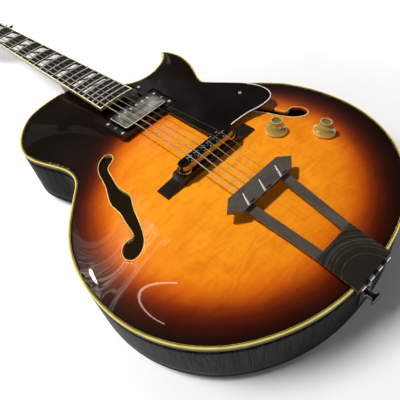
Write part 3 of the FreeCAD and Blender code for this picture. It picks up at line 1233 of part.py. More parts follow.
half_gap = size.knuckle_gap / 2
fork = padded("fork", fork_points, size.frame_thickness)
seat(fork, (0, 0, size.barrel_radius - size.frame_thickness))
fork_room = fuse("fork_room", *knuckles("fork_gap", 1, size.barrel_radius + size.knuckle_gap, -half_gap))
pin_bore = cylinder("frame_pin_bore", size.pin_radius + size.running_gap, size.frame_width,
                    (-size.frame_width / 2, 0, 0), ALONG_X)
frame_barrel = fuse("frame_barrel", cut("notched_fork", fork, fork_room), *knuckles("frame_knuckle", 0,
                                                                                  size.barrel_radius,
                                                                                  half_gap))
keep(cut("hinged_fork", frame_barrel, pin_bore), "tailpiece_frame", tail_frame)
half_bar = size.bar_length / 2
bar_front = size.bar_reach + size.bar_width / 2
bar_points = [(-half_bar, bar_rear), (half_bar, bar_rear), (half_bar + size.bar_point, size.bar_reach),
              (half_bar, bar_front), (-half_bar, bar_front), (-half_bar - size.bar_point, size.bar_reach)]
bar_plate = padded("bar_plate", bar_points, size.bar_thickness)
seat(bar_plate, (0, 0, size.barrel_radius))
string_bores = []
for route in routes:
    along = (route.saddle - route.ball).normalize()
    string_bores += [rod(size.bar_hole_radius, route.ball, along, size.bar_width * 2),
                     rod(size.bar_socket_radius, route.ball - along * float(size.bar_width), along,
                         size.bar_width + size.ball_length + size.string_rest_gap)]
bar_bores = feature("bar_bores", moved(Part.makeCompound(string_bores), tail_frame.inverse()))
keep(cut("bored_bar", bar_plate, bar_bores), "tailpiece_bar", tail_frame)
hinge_wire = cylinder("hinge_wire", size.pin_radius, size.hinge_width, (-size.hinge_width / 2, 0, 0), ALONG_X)
keep(group("pin", hinge_wire), "hinge_pin", tail_frame)

# Hinge plate: screwed flat against the tail, with a tongue that reaches down behind the strap button.
plate_face = -(size.hinge_plate_thickness + size.plate_seat_gap)
half_hinge, half_tongue = size.hinge_width / 2, size.hinge_tongue_width / 2
leaf_points = [(-half_hinge, size.pin_height), (-half_hinge, -size.hinge_plate_drop),
               (-half_tongue, -size.hinge_plate_drop), (-half_tongue, -size.hinge_tongue_drop),
               (half_tongue, -size.hinge_tongue_drop), (half_tongue, -size.hinge_plate_drop),
               (half_hinge, -size.hinge_plate_drop), (half_hinge, size.pin_height)]
leaf = padded("leaf", leaf_points, size.hinge_plate_thickness, "XZ_Plane", True)
seat(leaf, (0, plate_face + size.hinge_plate_thickness / 2, rim))


def on_pin(item):
    """Moves a piece drawn round the hinge's axis to the tail, without the slope of the frame."""
    item.Placement = Placement(tail_frame.Base, Rotation()).multiply(item.Placement)
    return item


leaf_room = fuse("leaf_room", *[on_pin(item) for item in knuckles("leaf_gap", 0,
                                                                  size.barrel_radius + size.knuckle_gap,
                                                                 -half_gap)])
leaf_knuckles = [on_pin(item) for item in knuckles("leaf_knuckle", 1, size.barrel_radius, half_gap)]
leaf_bores = feature("leaf_bores", Part.makeCompound(
    [moved(rod(size.pin_radius + size.running_gap, at(-size.hinge_width, 0, 0), Vector(1, 0, 0),
               size.hinge_width * 2),
           Placement(tail_frame.Base, Rotation())), strap_hole] + screw_holes(plate_screws)))
leaf_barrel = fuse("leaf_barrel", cut("notched_leaf", leaf, leaf_room), *leaf_knuckles)
keep(cut("hinge_leaf", leaf_barrel, leaf_bores), "hinge_plate")

# Strap button: a turned metal button held to the tail block by a long screw.
strap_base = strap_place.multiply(Placement(at(0, 0, -plate_face), Rotation()))
strap_high = size.strap_foot_height + size.strap_neck_length + size.strap_flange_height
strap_bore = size.strap_screw_radius + size.screw_gap
sunk = strap_high - size.strap_screw_sink
strap_points = [(strap_bore, 0), (size.strap_foot_radius, 0),
                (size.strap_neck_radius, size.strap_foot_height),
                (size.strap_neck_radius, size.strap_foot_height + size.strap_neck_length),
                (size.strap_flange_radius, strap_high - size.strap_flange_height / 2),
                (size.strap_flange_radius, strap_high), (size.strap_screw_head + size.screw_gap, strap_high),
                (size.strap_screw_head + size.screw_gap, sunk), (strap_bore, sunk)]
strap_knob = turned("strap_knob", strap_points)
strap_bolt = fuse("strap_bolt", cylinder("strap_head", size.strap_screw_head, size.strap_screw_sink,
                                         (0, 0, sunk)),
                  cylinder("strap_shank", size.strap_screw_radius, size.strap_screw_length,
                           (0, 0, sunk - size.strap_screw_length)))
keep(group("strap_set", strap_knob, strap_bolt), "strap_button", strap_base)

# Pickguard: a plate beside the strings, cut round the pickup ring and carried on two short posts.
guard_outer = spline(share_points(GUARD_SHARES, size.guard_width, size.guard_length, size.guard_x,
                                  size.guard_y))
guard_heel = share_points(GUARD_HEEL_SHARES, size.guard_width, size.guard_length, size.guard_x, size.guard_y)
guard_corners = [guard_outer.valueAt(guard_outer.FirstParameter)] + guard_heel
guard_corners += [guard_outer.valueAt(guard_outer.LastParameter)]
guard_edges = [Part.LineSegment(first, second).toShape()
               for first, second in zip(guard_corners, guard_corners[1:])]
guard_low = size.guard_height - size.guard_thickness
guard_plate = prism(wire(guard_outer, *guard_edges), rim + guard_low, rim + size.guard_height)
notch = block(at(0, ring_near - size.guard_notch_gap, rim),
              at(size.ring_length / 2 + size.guard_notch_gap, ring_far + size.guard_notch_gap,
                 body_top + rim))
keep(feature("guard", screwed(guard_plate.cut(notch), guard_screws)), "pickguard")
guard_posts = []
for frame in guard_screws:
    stand = rod(size.guard_post_radius, at(frame.Base.x, frame.Base.y, rim), Vector(0, 0, 1),
                guard_low - size.guard_seat_gap)
    guard_posts.append(screwed(stand.cut(under_top(size.guard_seat_gap)), [frame]))
keep(feature("stands", Part.makeCompound(guard_posts)), "pickguard_posts")

# Controls: two potentiometers under the top, each with its nut above it, and a bell-shaped knob on its shaft.
pot_top = -size.plate_thickness - size.pot_gap
knob_high = size.knob_lift + size.knob_height
knob_bore = size.pot_shaft_radius + size.screw_gap
cup_floor = knob_high - size.knob_cup_depth
socket_high = cup_floor - size.knob_wall
knob_roof = size.knob_lift + size.knob_hollow_height
flare = size.knob_radius - size.knob_top_radius
bell_points = [(size.knob_top_radius + u * flare, size.knob_lift + v * size.knob_height)
               for u, v in BELL_SHARES]
knob_points = [(size.knob_hollow_radius, size.knob_lift), (size.knob_radius, size.knob_lift),
               (size.knob_radius, size.knob_lift + size.knob_brim), *bell_points,
               (size.knob_top_radius, knob_high - size.knob_crown),
               (size.knob_top_radius - size.knob_crown, knob_high), (size.knob_cup_radius, knob_high),
               (size.knob_cup_radius, cup_floor), (0, cup_floor), (0, socket_high), (knob_bore, socket_high),
               (knob_bore, knob_roof), (size.knob_hollow_radius, knob_roof)]
pot_parts = []
shaft_low = pot_top - size.pot_height / 2
for name, frame in (("volume", volume_frame), ("tone", tone_frame)):
    can = fuse("can_" + name, cylinder("housing_" + name, size.pot_radius, size.pot_height,
                                       (0, 0, pot_top - size.pot_height)),
               cylinder("bushing_" + name, size.pot_bushing_radius, size.pot_bushing_height - pot_top,
                        (0, 0, pot_top)))
    shaft_bore = cylinder("shaft_bore_" + name, size.pot_shaft_radius + size.running_gap,
                          knob_high - shaft_low,
                          (0, 0, shaft_low - size.joint_gap))
    pot = cut("pot_" + name, can, shaft_bore)
    pot.Placement = frame
    nut_ring = cut("pot_nut_" + name,
                   cylinder("nut_disc_" + name, size.pot_nut_radius, size.pot_nut_height,
                            (0, 0, size.joint_gap)),
                   cylinder("nut_bore_" + name, size.pot_bushing_radius + size.screw_gap, size.knob_height,
                            (0, 0, -size.overrun)))
    nut_ring.Placement = frame
    pot_parts += [pot, nut_ring]
    bell = turned("bell_" + name, knob_points)
    spindle = cylinder("shaft_" + name, size.pot_shaft_radius, socket_high - size.joint_gap - shaft_low,
                       (0, 0, shaft_low))
    keep(group("knob_and_shaft_" + name, bell, spindle), name + "_knob", frame)
keep(group("pots", *pot_parts), "control_pots")

# Output jack: a flanged socket through the side, with a nut inside.
inner_face = -size.side_thickness - size.pot_gap
jack_tube = fuse("jack_tube", cylinder("jack_sleeve", size.jack_radius, size.jack_length,
                                       (0, 0, size.jack_flange_height - size.jack_length)),
                 cylinder("jack_flange", size.jack_flange_radius, size.jack_flange_height - size.jack_gap,
                          (0, 0, size.jack_gap)))
jack_bore = cylinder("jack_bore", size.jack_bore_radius, size.jack_length * 2, (0, 0, -size.jack_length))
jack_nut = cut("jack_nut", cylinder("jack_nut_disc", size.jack_nut_radius, size.jack_nut_height,
                                    (0, 0, inner_face - size.jack_nut_height)),
               cylinder("jack_nut_bore", size.jack_radius + size.screw_gap, size.jack_length,
                        (0, 0, -size.jack_length)))
keep(group("jack", cut("jack_socket", jack_tube, jack_bore), jack_nut), "output_jack", jack_frame)


# Wiring: three leads from the pickup to the volume control, on to the tone control and to the jack.
def lead_bend(before, corner, after, half_turn):
    return 0.45 * min((corner - before).Length, (after - corner).Length) / math.tan(half_turn)


def lead(points):
    return tube(eased(points, lead_bend), size.lead_radius, points[0], points[1] - points[0])


def below(frame, x, depth):
    return frame.multVec(at(x, 0, -depth))


pot_back = size.pot_height - pot_top + size.lead_gap
deep = pot_back + size.lead_depth
jack_inside = size.jack_length - size.jack_flange_height + size.lead_gap
jack_side = size.jack_radius + size.lead_radius
pickup_side, pot_side = size.pickup_length / 4, size.pot_radius / 2
leads = [
    [below(pickup_frame, pickup_side, size.lead_gap - plate_low),
     below(pickup_frame, pickup_side, size.lead_depth - plate_low),
     below(volume_frame, -pot_side, deep), below(volume_frame, -pot_side, pot_back)],
    [below(volume_frame, pot_side, pot_back), below(volume_frame, pot_side, deep),
     below(tone_frame, -pot_side, deep),
     below(tone_frame, -pot_side, pot_back)],
    [below(tone_frame, pot_side, pot_back), below(tone_frame, pot_side, deep),
     below(jack_frame, jack_side, jack_inside + size.lead_depth), below(jack_frame, jack_side, jack_inside)],
]
keep(feature("leads", Part.makeCompound([lead(points) for points in leads])), "wiring")

# Wood screws, in one group: four in the ring, two in the pickguard, one in the head's cover, three in the
# hinge plate and one in each tuner.
all_screws = ring_screws + guard_screws + cover_screws + plate_screws + tuner_screws
keep(feature("screws", Part.makeCompound([screw_solid(frame) for frame in all_screws])), "wood_screws")

doc.recompute()
for item in doc.Objects:
    if "Invalid" in item.State or "Error" in item.State:
        raise RuntimeError("%s did not build" % item.Label)
os.makedirs("parts", exist_ok=True)
for item in nodes:
    if item.Shape.isNull() or not item.Shape.isValid():
        raise RuntimeError("%s has no valid shape" % item.Label)
    item.Shape.exportStep("parts/%s.step" % item.Label)
print("%d sub-parts written" % len(nodes))
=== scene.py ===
import json
import math

import bmesh
import bpy
import numpy as np
from mathutils import Matrix


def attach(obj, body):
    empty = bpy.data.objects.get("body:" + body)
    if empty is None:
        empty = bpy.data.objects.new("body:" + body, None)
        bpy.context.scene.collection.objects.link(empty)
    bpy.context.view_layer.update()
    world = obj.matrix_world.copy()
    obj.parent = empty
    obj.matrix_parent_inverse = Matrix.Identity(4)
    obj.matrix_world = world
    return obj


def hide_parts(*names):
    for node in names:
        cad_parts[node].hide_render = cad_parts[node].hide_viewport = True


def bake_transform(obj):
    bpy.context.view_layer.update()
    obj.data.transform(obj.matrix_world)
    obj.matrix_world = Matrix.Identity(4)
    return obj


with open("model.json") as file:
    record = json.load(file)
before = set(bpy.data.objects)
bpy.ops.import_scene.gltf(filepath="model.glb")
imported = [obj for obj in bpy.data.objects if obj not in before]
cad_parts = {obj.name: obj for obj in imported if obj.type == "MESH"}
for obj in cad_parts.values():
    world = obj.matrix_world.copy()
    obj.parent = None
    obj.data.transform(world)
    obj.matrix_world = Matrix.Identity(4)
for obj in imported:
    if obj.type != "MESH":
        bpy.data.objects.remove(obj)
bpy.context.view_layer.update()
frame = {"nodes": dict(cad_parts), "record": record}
bpy.context.scene.view_settings.view_transform = "Standard"

# Sides: maple ribs bent round the outline of the body, stained nearly black and lacquered. They meet at
# the tail, at the tip of the horn and at the heel of the neck.
tail_y = -0.508293
half_bout, body_length = 0.207, 0.531
rim_z, back_rim_z, binding_height, rib_thickness = 0.092, 0.014, 0.0065, 0.0025
long_points, cutaway_points, rib_rows = 620, 140, 9
lower_bout_shares = [(0.30, 0.0125), (0.55, 0.050), (0.76, 0.108), (0.90, 0.180), (0.98, 0.263), (1.0, 0.335),
                     (0.975, 0.425), (0.905, 0.502), (0.795, 0.565), (0.675, 0.618)]
bass_shares = [(0.606, 0.655), (0.592, 0.688), (0.625, 0.737), (0.678, 0.790), (0.700, 0.840), (0.672, 0.890),
               (0.590, 0.940), (0.470, 0.980), (0.330, 0.997), (0.145, 1.0)]
treble_shares = [(0.606, 0.655), (0.598, 0.682), (0.632, 0.720), (0.690, 0.765), (0.728, 0.810),
                 (0.738, 0.850), (0.722, 0.885), (0.690, 0.909)]
cutaway_shares = [(0.690, 0.909), (0.640, 0.882), (0.545, 0.858), (0.435, 0.846), (0.330, 0.849),
                  (0.240, 0.868), (0.180, 0.897), (0.152, 0.935), (0.145, 1.0)]


def smooth_line(points, count, closed=False):
    """Cubic spline through points, with the chord lengths h as parameter and d as slopes of the chords. The
    slopes m solve h[i] m[i-1] + 2 (h[i-1] + h[i]) m[i] + h[i-1] m[i+1] = 3 (h[i] d[i-1] + h[i-1] d[i]);
    an open line leaves each end with the slope of the cubic through its last four points."""
    points = np.array(points, float)
    if closed:
        points = np.vstack([points, points[:1]])
    last = len(points) - 1
    chord = np.linalg.norm(np.diff(points, axis=0), axis=1)
    place = np.concatenate([[0.0], np.cumsum(chord)])
    slope = np.diff(points, axis=0) / chord[:, None]
    matrix, wanted = np.eye(last + 1), np.zeros_like(points)
    for i in range(0 if closed else 1, last):
        matrix[i, i] = 2 * (chord[i - 1] + chord[i])
        matrix[i, i - 1 if i else last - 1] = chord[i]
        matrix[i, i + 1] = chord[i - 1]
        wanted[i] = 3 * (chord[i] * slope[i - 1] + chord[i - 1] * slope[i])
    if closed:
        matrix[last, 0] = -1.0
    else:
        for end, four in ((0, slice(0, 4)), (last, slice(last - 3, last + 1))):
            powers = np.vander(place[four] - place[end], 4, increasing=True)
            wanted[end] = np.linalg.solve(powers, points[four])[1]
    m = np.linalg.solve(matrix, wanted)
    at = np.linspace(0.0, place[-1], count)
    i = np.clip(np.searchsorted(place, at) - 1, 0, last - 1)
    h = chord[i][:, None]
    t = ((at - place[i]) / chord[i])[:, None]
    return ((1 + 2 * t) * (1 - t) ** 2 * points[i] + t * (1 - t) ** 2 * h * m[i]
            + t * t * (3 - 2 * t) * points[i + 1] - t * t * (1 - t) * h * m[i + 1])


def body_points(shares):
    """Points of the body's plan from shares of half the lower bout's width and of the body's length."""
    return np.array(shares) * (half_bout, body_length) + (0, tail_y)


def unit(vectors):
    """Vectors of the same directions, one metre long."""
    return vectors / np.linalg.norm(vectors, axis=-1, keepdims=True)


def left_of(line, closed=False):
    """Unit vectors pointing to the left of a line, square to its central differences."""
    if closed:
        ahead = np.roll(line[:-1], -1, axis=0) - np.roll(line[:-1], 1, axis=0)
        ahead = np.vstack([ahead, ahead[:1]])
    else:
        ahead = np.gradient(line, axis=0)
    return unit(np.stack([-ahead[:, 1], ahead[:, 0]], axis=1))


def lengths(line):
    """Distance of each point of a line from its first one."""
    return np.concatenate([[0.0], np.cumsum(np.linalg.norm(np.diff(line, axis=0), axis=1))])


def linked(name, data):
    thing = bpy.data.objects.new(name, data)
    bpy.context.scene.collection.objects.link(thing)
    return thing


def surface(name, grid, along=None, across=None, wrap=False):
    """Piece from one or more grids of points: each cell of rows and columns is one face, and with wrap the
    last column joins the first. Its UV map holds the distance along the rows and across the columns."""
    grids = grid if grid.ndim == 4 else grid[None]
    count, rows, columns = grids.shape[:3]
    cells = columns if wrap else columns - 1
    sheet, i, j = np.meshgrid(np.arange(count), np.arange(rows - 1), np.arange(cells), indexing="ij")
    near = (sheet * rows + i) * columns + j
    far = (sheet * rows + i) * columns + (j + 1) % columns
    faces = np.stack([near, far, far + columns, near + columns], axis=-1).reshape(-1, 4)
    mesh = bpy.data.meshes.new(name)
    mesh.from_pydata(grids.reshape(-1, 3).tolist(), [], faces.tolist())
    if along is not None:
        u = along[np.stack([i, i, i + 1, i + 1], axis=-1)]
        v = across[np.stack([j, j + 1, j + 1, j], axis=-1)]
        mesh.uv_layers.new(name="run").data.foreach_set("uv", np.stack([u, v], axis=-1).ravel())
    mesh.polygons.foreach_set("use_smooth", np.ones(len(faces), bool))
    return linked(name, mesh)


class Link:
    """A value that varies over a surface; sums, differences and products of such values add Math nodes."""

    def __init__(self, finish, socket):
        self.finish, self.socket = finish, socket

    def math(self, operation, first, second):
        return self.finish.node("Math", {"operation": operation}, {0: first, 1: second})

    def __add__(self, other):
        return self.math("ADD", self, other)

    def __sub__(self, other):
        return self.math("SUBTRACT", self, other)

    def __rsub__(self, other):
        return self.math("SUBTRACT", other, self)

    def __mul__(self, other):
        return self.math("MULTIPLY", self, other)


def tone(red, green, blue):
    """Linear colour from screen values of 0 to 255."""
    share = np.array([red, green, blue]) / 255
    linear = np.where(share <= 0.04045, share / 12.92, ((share + 0.055) / 1.055) ** 2.4)
    return (*linear.tolist(), 1.0)


class Finish:
    """One lacquer, metal, wood or plastic: a material with its constants set on the shader's sockets."""

    def __init__(self, name, holder=None, shader="Principled BSDF", **constants):
        self.material = holder or bpy.data.materials.new(name)
        self.material.use_nodes = True
        self.tree = self.material.node_tree
        self.shader = self.tree.nodes[shader]
        self.set(**constants)

    def feed(self, socket, value):
        if isinstance(value, Link):
            self.tree.links.new(value.socket, socket)
        else:
            socket.default_value = value

    def set(self, **values):
        for name, value in values.items():
            self.feed(self.shader.inputs[name.replace("_", " ")], value)

    def node(self, kind, settings, inputs, output=0):
        made = self.tree.nodes.new("ShaderNode" + kind)
        for name, value in settings.items():
            if name == "stops":
                ramp = made.color_ramp.elements
                while len(ramp) < len(value):
                    ramp.new(1.0)
                for element, (place, colour) in zip(ramp, value):
                    element.position, element.color = place, colour
            elif name == "interpolation":
                made.color_ramp.interpolation = value
            else:
                setattr(made, name, value)
        for name, value in inputs.items():
            self.feed(made.inputs[name], value)
        return Link(self, made.outputs[output])

    def place(self, scale=(1, 1, 1), shift=(0, 0, 0), run=False):
        """Where a point is: its place in the frame, or its distance along and across its own surface."""
        spot = self.node("UVMap", {"uv_map": "run"}, {}) if run else self.node("TexCoord", {}, {}, "Object")
        return self.node("Mapping", {}, {"Vector": spot, "Location": shift, "Scale": scale})

    def part(self, vector, axis):
        return self.node("SeparateXYZ", {}, {0: vector}, axis)

    def distance(self, vector):
        return self.node("VectorMath", {"operation": "LENGTH"}, {0: vector}, "Value")

    def noise(self, clouds, detail=3.0, warp=0.0, run=False):
        """Cloudy variation about 0.5, with so many clouds to a metre, or along each axis."""
        spot = self.place(np.broadcast_to(clouds, 3).tolist(), run=run)
        return self.node("TexNoise", {}, {"Vector": spot, "Scale": 1.0, "Detail": detail, "Roughness": 0.55,
                                          "Distortion": warp})

    def ramp(self, value, stops, hard=False):
        steps = "CONSTANT" if hard else "LINEAR"
        return self.node("ValToRGB", {"interpolation": steps, "stops": stops}, {0: value})

    def mix(self, share, first, second, blend="MIX"):
        settings = {"data_type": "RGBA", "blend_type": blend}
        return self.node("Mix", settings, {0: share, 6: first, 7: second}, 2)

    def clouded(self, clouds, dark, light, ends=(0.3, 0.7), detail=3.0):
        """Sets the base colour between two tones in clouds, and returns the clouds."""
        cloud = self.noise(clouds, detail)
        self.set(Base_Color=self.ramp(cloud, [(ends[0], dark), (ends[1], light)]))
        return cloud

    def bump(self, height, depth, strength=1.0):
        """Relief of a depth in metres under the reflections."""
        self.set(Normal=self.node("Bump", {}, {"Height": height, "Distance": depth, "Strength": strength}))


def fitted(piece, body, slot, finish, *nodes):
    """Gives a piece its finish, its body and the solids that it stands for. The slot is not used."""
    piece.data.materials.append(finish.material)
    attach(piece, body)
    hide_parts(*nodes)
    return piece


def backed(piece, thickness, lining=0):
    wall = piece.modifiers.new("wall", "SOLIDIFY")
    wall.thickness, wall.offset, wall.material_offset = thickness, -1.0, lining
    return piece


long_shares = [(-u, v) for u, v in lower_bout_shares + bass_shares][::-1] + [(0, 0)] + lower_bout_shares
long_edge = smooth_line(body_points(long_shares + treble_shares), long_points)
cutaway_edge = smooth_line(body_points(cutaway_shares), cutaway_points)
rib_levels = np.linspace(rim_z - binding_height, back_rim_z + binding_height, rib_rows)

rib_lacquer = Finish("rib_lacquer", Roughness=0.4, Specular_IOR_Level=0.03)
flame = rib_lacquer.noise((340, 22, 0), 4.0, 1.4, run=True)
wide_flame = rib_lacquer.noise((60, 5, 0), 2.0, 0.8, run=True)
figure = rib_lacquer.ramp(flame * 0.7 + wide_flame * 0.3,
                          [(0.42, tone(3, 3, 3)), (0.50, tone(9, 8, 8)), (0.56, tone(46, 44, 40)),
                           (0.61, tone(26, 24, 22)), (0.67, tone(9, 8, 8))])
rib_lacquer.set(Base_Color=figure)
rib_lacquer.bump(flame, 0.00003, 0.4)
for name, edge in (("long_rib", long_edge), ("cutaway_rib", cutaway_edge)):
    level = np.broadcast_to(rib_levels, (len(edge), len(rib_levels)))
    plan = np.broadcast_to(edge[:, None], (len(edge), len(rib_levels), 2))
    rib = surface(name, np.dstack([plan, level]), lengths(edge), rib_levels)
    backed(rib, rib_thickness)
    fitted(rib, "guitar", "dark_rim", rib_lacquer, "sides")

# Blocks, linings and tone bars: bare spruce and mahogany glued inside the body, seen only through the
# f-holes, in the little light that falls in there, to which their wood adds a faint painted glow.
# Painted light: the emission makes the inner wood glow faintly.
bare_wood = Finish("bare_wood", Roughness=0.75, Emission_Color=tone(32, 24, 12), Emission_Strength=1.0)
spruce_lines = bare_wood.noise((420, 9, 60), 3.0, 0.3)
bare_wood.set(Base_Color=bare_wood.ramp(spruce_lines, [(0.35, tone(74, 52, 30)), (0.65, tone(104, 79, 50))]))
bare_wood.bump(spruce_lines, 0.00006)


def painted(finish, *names):
    """Gives solids that stay as they are their finish."""
    for name in names:
        for holder in frame["nodes"][name].material_slots:
            holder.material = finish.material


painted(bare_wood, "linings_and_blocks", "tone_bars")

# Back: an arched maple plate with a flame across it, shaded from amber in the middle to near black at the
# edge, and lacquered.
top_arch, back_arch, arch_ease, plate_thickness = 0.016, 0.014, 1.2, 0.005
grid_margin, arch_columns, arch_rows, chord_step = 0.024, 31, 39, 5
plate_pitch, plate_edge, mitre = 0.0025, 0.0012, 0.55
black, white = (0.0, 0.0, 0.0, 1.0), (1.0, 1.0, 1.0, 1.0)


def reach_of(plan):
    """Harmonic mean of a point's distances to the outline over all directions: twice the inverse of the sum,
    over the outline's chords from a to b, of (1/|a| + 1/|b|) (a x b) / (|a||b| + a.b)."""
    corners = np.vstack([long_edge[::chord_step], cutaway_edge[::chord_step][1:]])
    total = np.zeros(len(plan))
    for first, second in zip(corners, np.roll(corners, -1, axis=0)):
        a, b = first - plan, second - plan
        near, far = np.linalg.norm(a, axis=1), np.linalg.norm(b, axis=1)
        turn = a[:, 0] * b[:, 1] - a[:, 1] * b[:, 0]
        total += (1 / near + 1 / far) * turn / (near * far + (a * b).sum(axis=1))
    return np.maximum(2 / total, 0.0)


coarse_x = np.linspace(-half_bout - grid_margin, half_bout + grid_margin, arch_columns)
coarse_y = np.linspace(-grid_margin, body_length + grid_margin, arch_rows) + tail_y
coarse_plan = np.stack(np.meshgrid(coarse_x, coarse_y, indexing="ij"), axis=-1).reshape(-1, 2)
reach_top = reach_of(coarse_plan).max()


def swell(plan):
    """Share of the arch's height: half of 1 - cos(pi s ** ease), with s the reach by the largest reach."""
    return (1 - np.cos(math.pi * np.minimum(reach_of(plan) / reach_top, 1.0) ** arch_ease)) / 2


def inside(plan, loop):
    """Whether each point lies in a closed loop: an odd number of its chords cross the point's ray along X."""
    odd = np.zeros(len(plan), bool)
    for (ax, ay), (bx, by) in zip(loop, np.roll(loop, -1, axis=0)):
        if ay != by:
            spans = (ay > plan[:, 1]) != (by > plan[:, 1])
            odd ^= spans & (plan[:, 0] < ax + (bx - ax) * (plan[:, 1] - ay) / (by - ay))
    return odd


def arched_plate(name, level, arch, loops, openings):
    """Square grid under the arch, cut where loops and oblong openings lie; points next to a loop are drawn to
    its nearest point."""
    x = np.arange(-half_bout, half_bout + plate_pitch, plate_pitch)
    y = np.arange(0.0, body_length + plate_pitch, plate_pitch) + tail_y
    plan = np.stack(np.meshgrid(x, y, indexing="ij"), axis=-1)
    rows, columns = plan.shape[:2]
    flat = plan.reshape(-1, 2)
    kept = inside(flat, edge_in(plate_edge))
    i, j = np.meshgrid(np.arange(rows - 1), np.arange(columns - 1), indexing="ij")
    corner = i * columns + j
    faces = np.stack([corner, corner + columns, corner + columns + 1, corner + 1], axis=-1).reshape(-1, 4)
    faces = faces[kept[faces].all(axis=1)]
    middle = flat[faces].mean(axis=1)
    for (cx, cy), (wide, long) in openings:
        faces = faces[~((abs(middle[:, 0] - cx) < wide) & (abs(middle[:, 1] - cy) < long))]
        middle = flat[faces].mean(axis=1)
    moved = flat.copy()
    for loop in loops:
        outer = ~inside(middle, loop)
        kept_points = np.unique(faces[outer])
        shared = np.intersect1d(kept_points, faces[~outer])
        border = np.union1d(shared, kept_points[inside(flat[kept_points], loop)])
        gaps = np.linalg.norm(flat[border][:, None] - loop[None], axis=2)
        moved[border] = loop[gaps.argmin(axis=1)]
        faces, middle = faces[outer], middle[outer]
    used, faces = np.unique(faces, return_inverse=True)
    faces = faces.reshape(-1, 4)
    spots = moved[used]
    points = np.column_stack([spots, level + arch * swell(spots)])
    if arch < 0:
        faces = faces[:, ::-1]
    mesh = bpy.data.meshes.new(name)
    mesh.from_pydata(points.tolist(), [], faces.tolist())
    mesh.polygons.foreach_set("use_smooth", np.ones(len(faces), bool))
    return backed(linked(name, mesh), plate_thickness, 1)


def edge_in(distance):
    """The outline carried inwards by a distance, less near the horn's tip, where both edges meet at a
    mitre."""
    before_tip = np.minimum(distance, (lengths(long_edge)[-1] - lengths(long_edge)) * mitre)
    past_tip = np.minimum(distance, lengths(cutaway_edge) * mitre)
    long_part = long_edge + left_of(long_edge) * before_tip[:, None]
    cut_part = cutaway_edge + left_of(cutaway_edge) * past_tip[:, None]
    return np.vstack([long_part, cut_part[1:]])


def burst(finish, centre, half_axes, stops, waver):
    """Shaded ring: colours by the distance from a centre, measured in half axes of an ellipse."""
    scale = (1 / half_axes[0], 1 / half_axes[1], 0)
    shift = (-centre[0] * scale[0], -centre[1] * scale[1], 0)
    ring = finish.distance(finish.place(scale, shift))
    cloud = finish.noise((22, 22, 0), 2.0)
    return finish.ramp((ring + (cloud - 0.5) * waver) * 0.5, [(place / 2, colour) for place, colour in stops])


def tinted(finish, share, shade, cloud, dark, ends):
    """A shade that is darkened by a share towards a tone where a cloud is low."""
    return finish.mix(share, shade, finish.ramp(cloud, [(ends[0], dark), (ends[1], white)]), "MULTIPLY")


burst_stops = [(0.0, tone(255, 163, 32)), (0.60, tone(254, 155, 26)), (0.81, tone(248, 142, 20)),
               (0.875, tone(234, 121, 15)), (0.94, tone(200, 90, 11)), (1.0, tone(144, 54, 10)),
               (1.055, tone(96, 30, 9)), (1.11, tone(60, 18, 8)), (1.165, tone(36, 12, 7)),
               (1.24, tone(22, 8, 5)), (1.5, tone(13, 6, 4))]
back_lacquer = Finish("back_lacquer", Coat_Weight=1.0, Coat_Roughness=0.03, Roughness=0.3)
back_shade = burst(back_lacquer, (0, -0.285), (0.160, 0.175), burst_stops, 0.10)
back_flame = back_lacquer.noise((14, 210, 0), 3.0, 1.2)
back_shade = tinted(back_lacquer, 0.55, back_shade, back_flame, tone(120, 96, 84), (0.38, 0.62))
back_lacquer.set(Base_Color=back_shade)
back = arched_plate("arched_back", back_rim_z, -back_arch, [], [])
fitted(back, "guitar", "dark_rim", back_lacquer, "back_plate").data.materials.append(bare_wood.material)

# Top: an arched plate with two f-holes and an opening under the pickup, shaded from amber round the
# bridge to black at the edge and over the whole upper bout, under a thick polished lacquer.
f_hole_x, f_hole_y, f_hole_width, f_hole_length, f_hole_points = 0.0715, 0.1875, 0.084, 0.154, 361
f_hole_shares = [(0.125, 1.0), (0.268, 0.951), (0.363, 0.834), (0.458, 0.685), (0.585, 0.523), (0.598, 0.406),
                 (0.661, 0.256), (0.750, 0.142), (0.857, 0.156), (0.964, 0.120), (1.0, 0.055), (0.940, 0.004),
                 (0.815, 0.002), (0.696, 0.045), (0.583, 0.146), (0.482, 0.282), (0.399, 0.380),
                 (0.325, 0.464), (0.333, 0.562), (0.304, 0.679), (0.244, 0.795), (0.173, 0.873),
                 (0.083, 0.890), (0.012, 0.919), (0.0, 0.961), (0.044, 0.994)]
pickup_y, pickup_opening, ear_opening = 0.3585, (0.0378, 0.0218), (0.045, 0.0062)
f_hole = np.array(f_hole_shares) * (f_hole_width, f_hole_length) + (f_hole_x, f_hole_y + tail_y)
f_loops = [smooth_line(f_hole * (side, 1), f_hole_points, True) for side in (-1, 1)]

top_lacquer = Finish("top_lacquer", Coat_Weight=1.0, Coat_Roughness=0.02, Roughness=0.35,
                     Specular_IOR_Level=0.2)
shade = burst(top_lacquer, (-0.0056, tail_y + 0.1885), (0.1676, 0.159), burst_stops, 0.05)
grain = top_lacquer.noise((700, 16, 0), 3.0, 0.6)
silk = top_lacquer.noise((24, 64, 0), 4.0, 2.0)
smudge = top_lacquer.noise((13, 20, 0), 3.0, 1.6)
shade = tinted(top_lacquer, 0.12, shade, grain, tone(176, 150, 132), (0.36, 0.60))
shade = tinted(top_lacquer, 0.24, shade, silk, tone(190, 164, 140), (0.36, 0.58))
shade = tinted(top_lacquer, 0.5, shade, smudge, tone(236, 204, 180), (0.30, 0.55))
top_lacquer.set(Base_Color=shade)
top_lacquer.bump(top_lacquer.noise(34, 1.0), 0.0003, 0.3)
pickup_spot = (0, tail_y + pickup_y)
top = arched_plate("arched_top", rim_z, top_arch, [loop[:-1] for loop in f_loops],
                   [(pickup_spot, pickup_opening), (pickup_spot, ear_opening)])
fitted(top, "guitar", "sunburst_top", top_lacquer, "top_plate").data.materials.append(bare_wood.material)
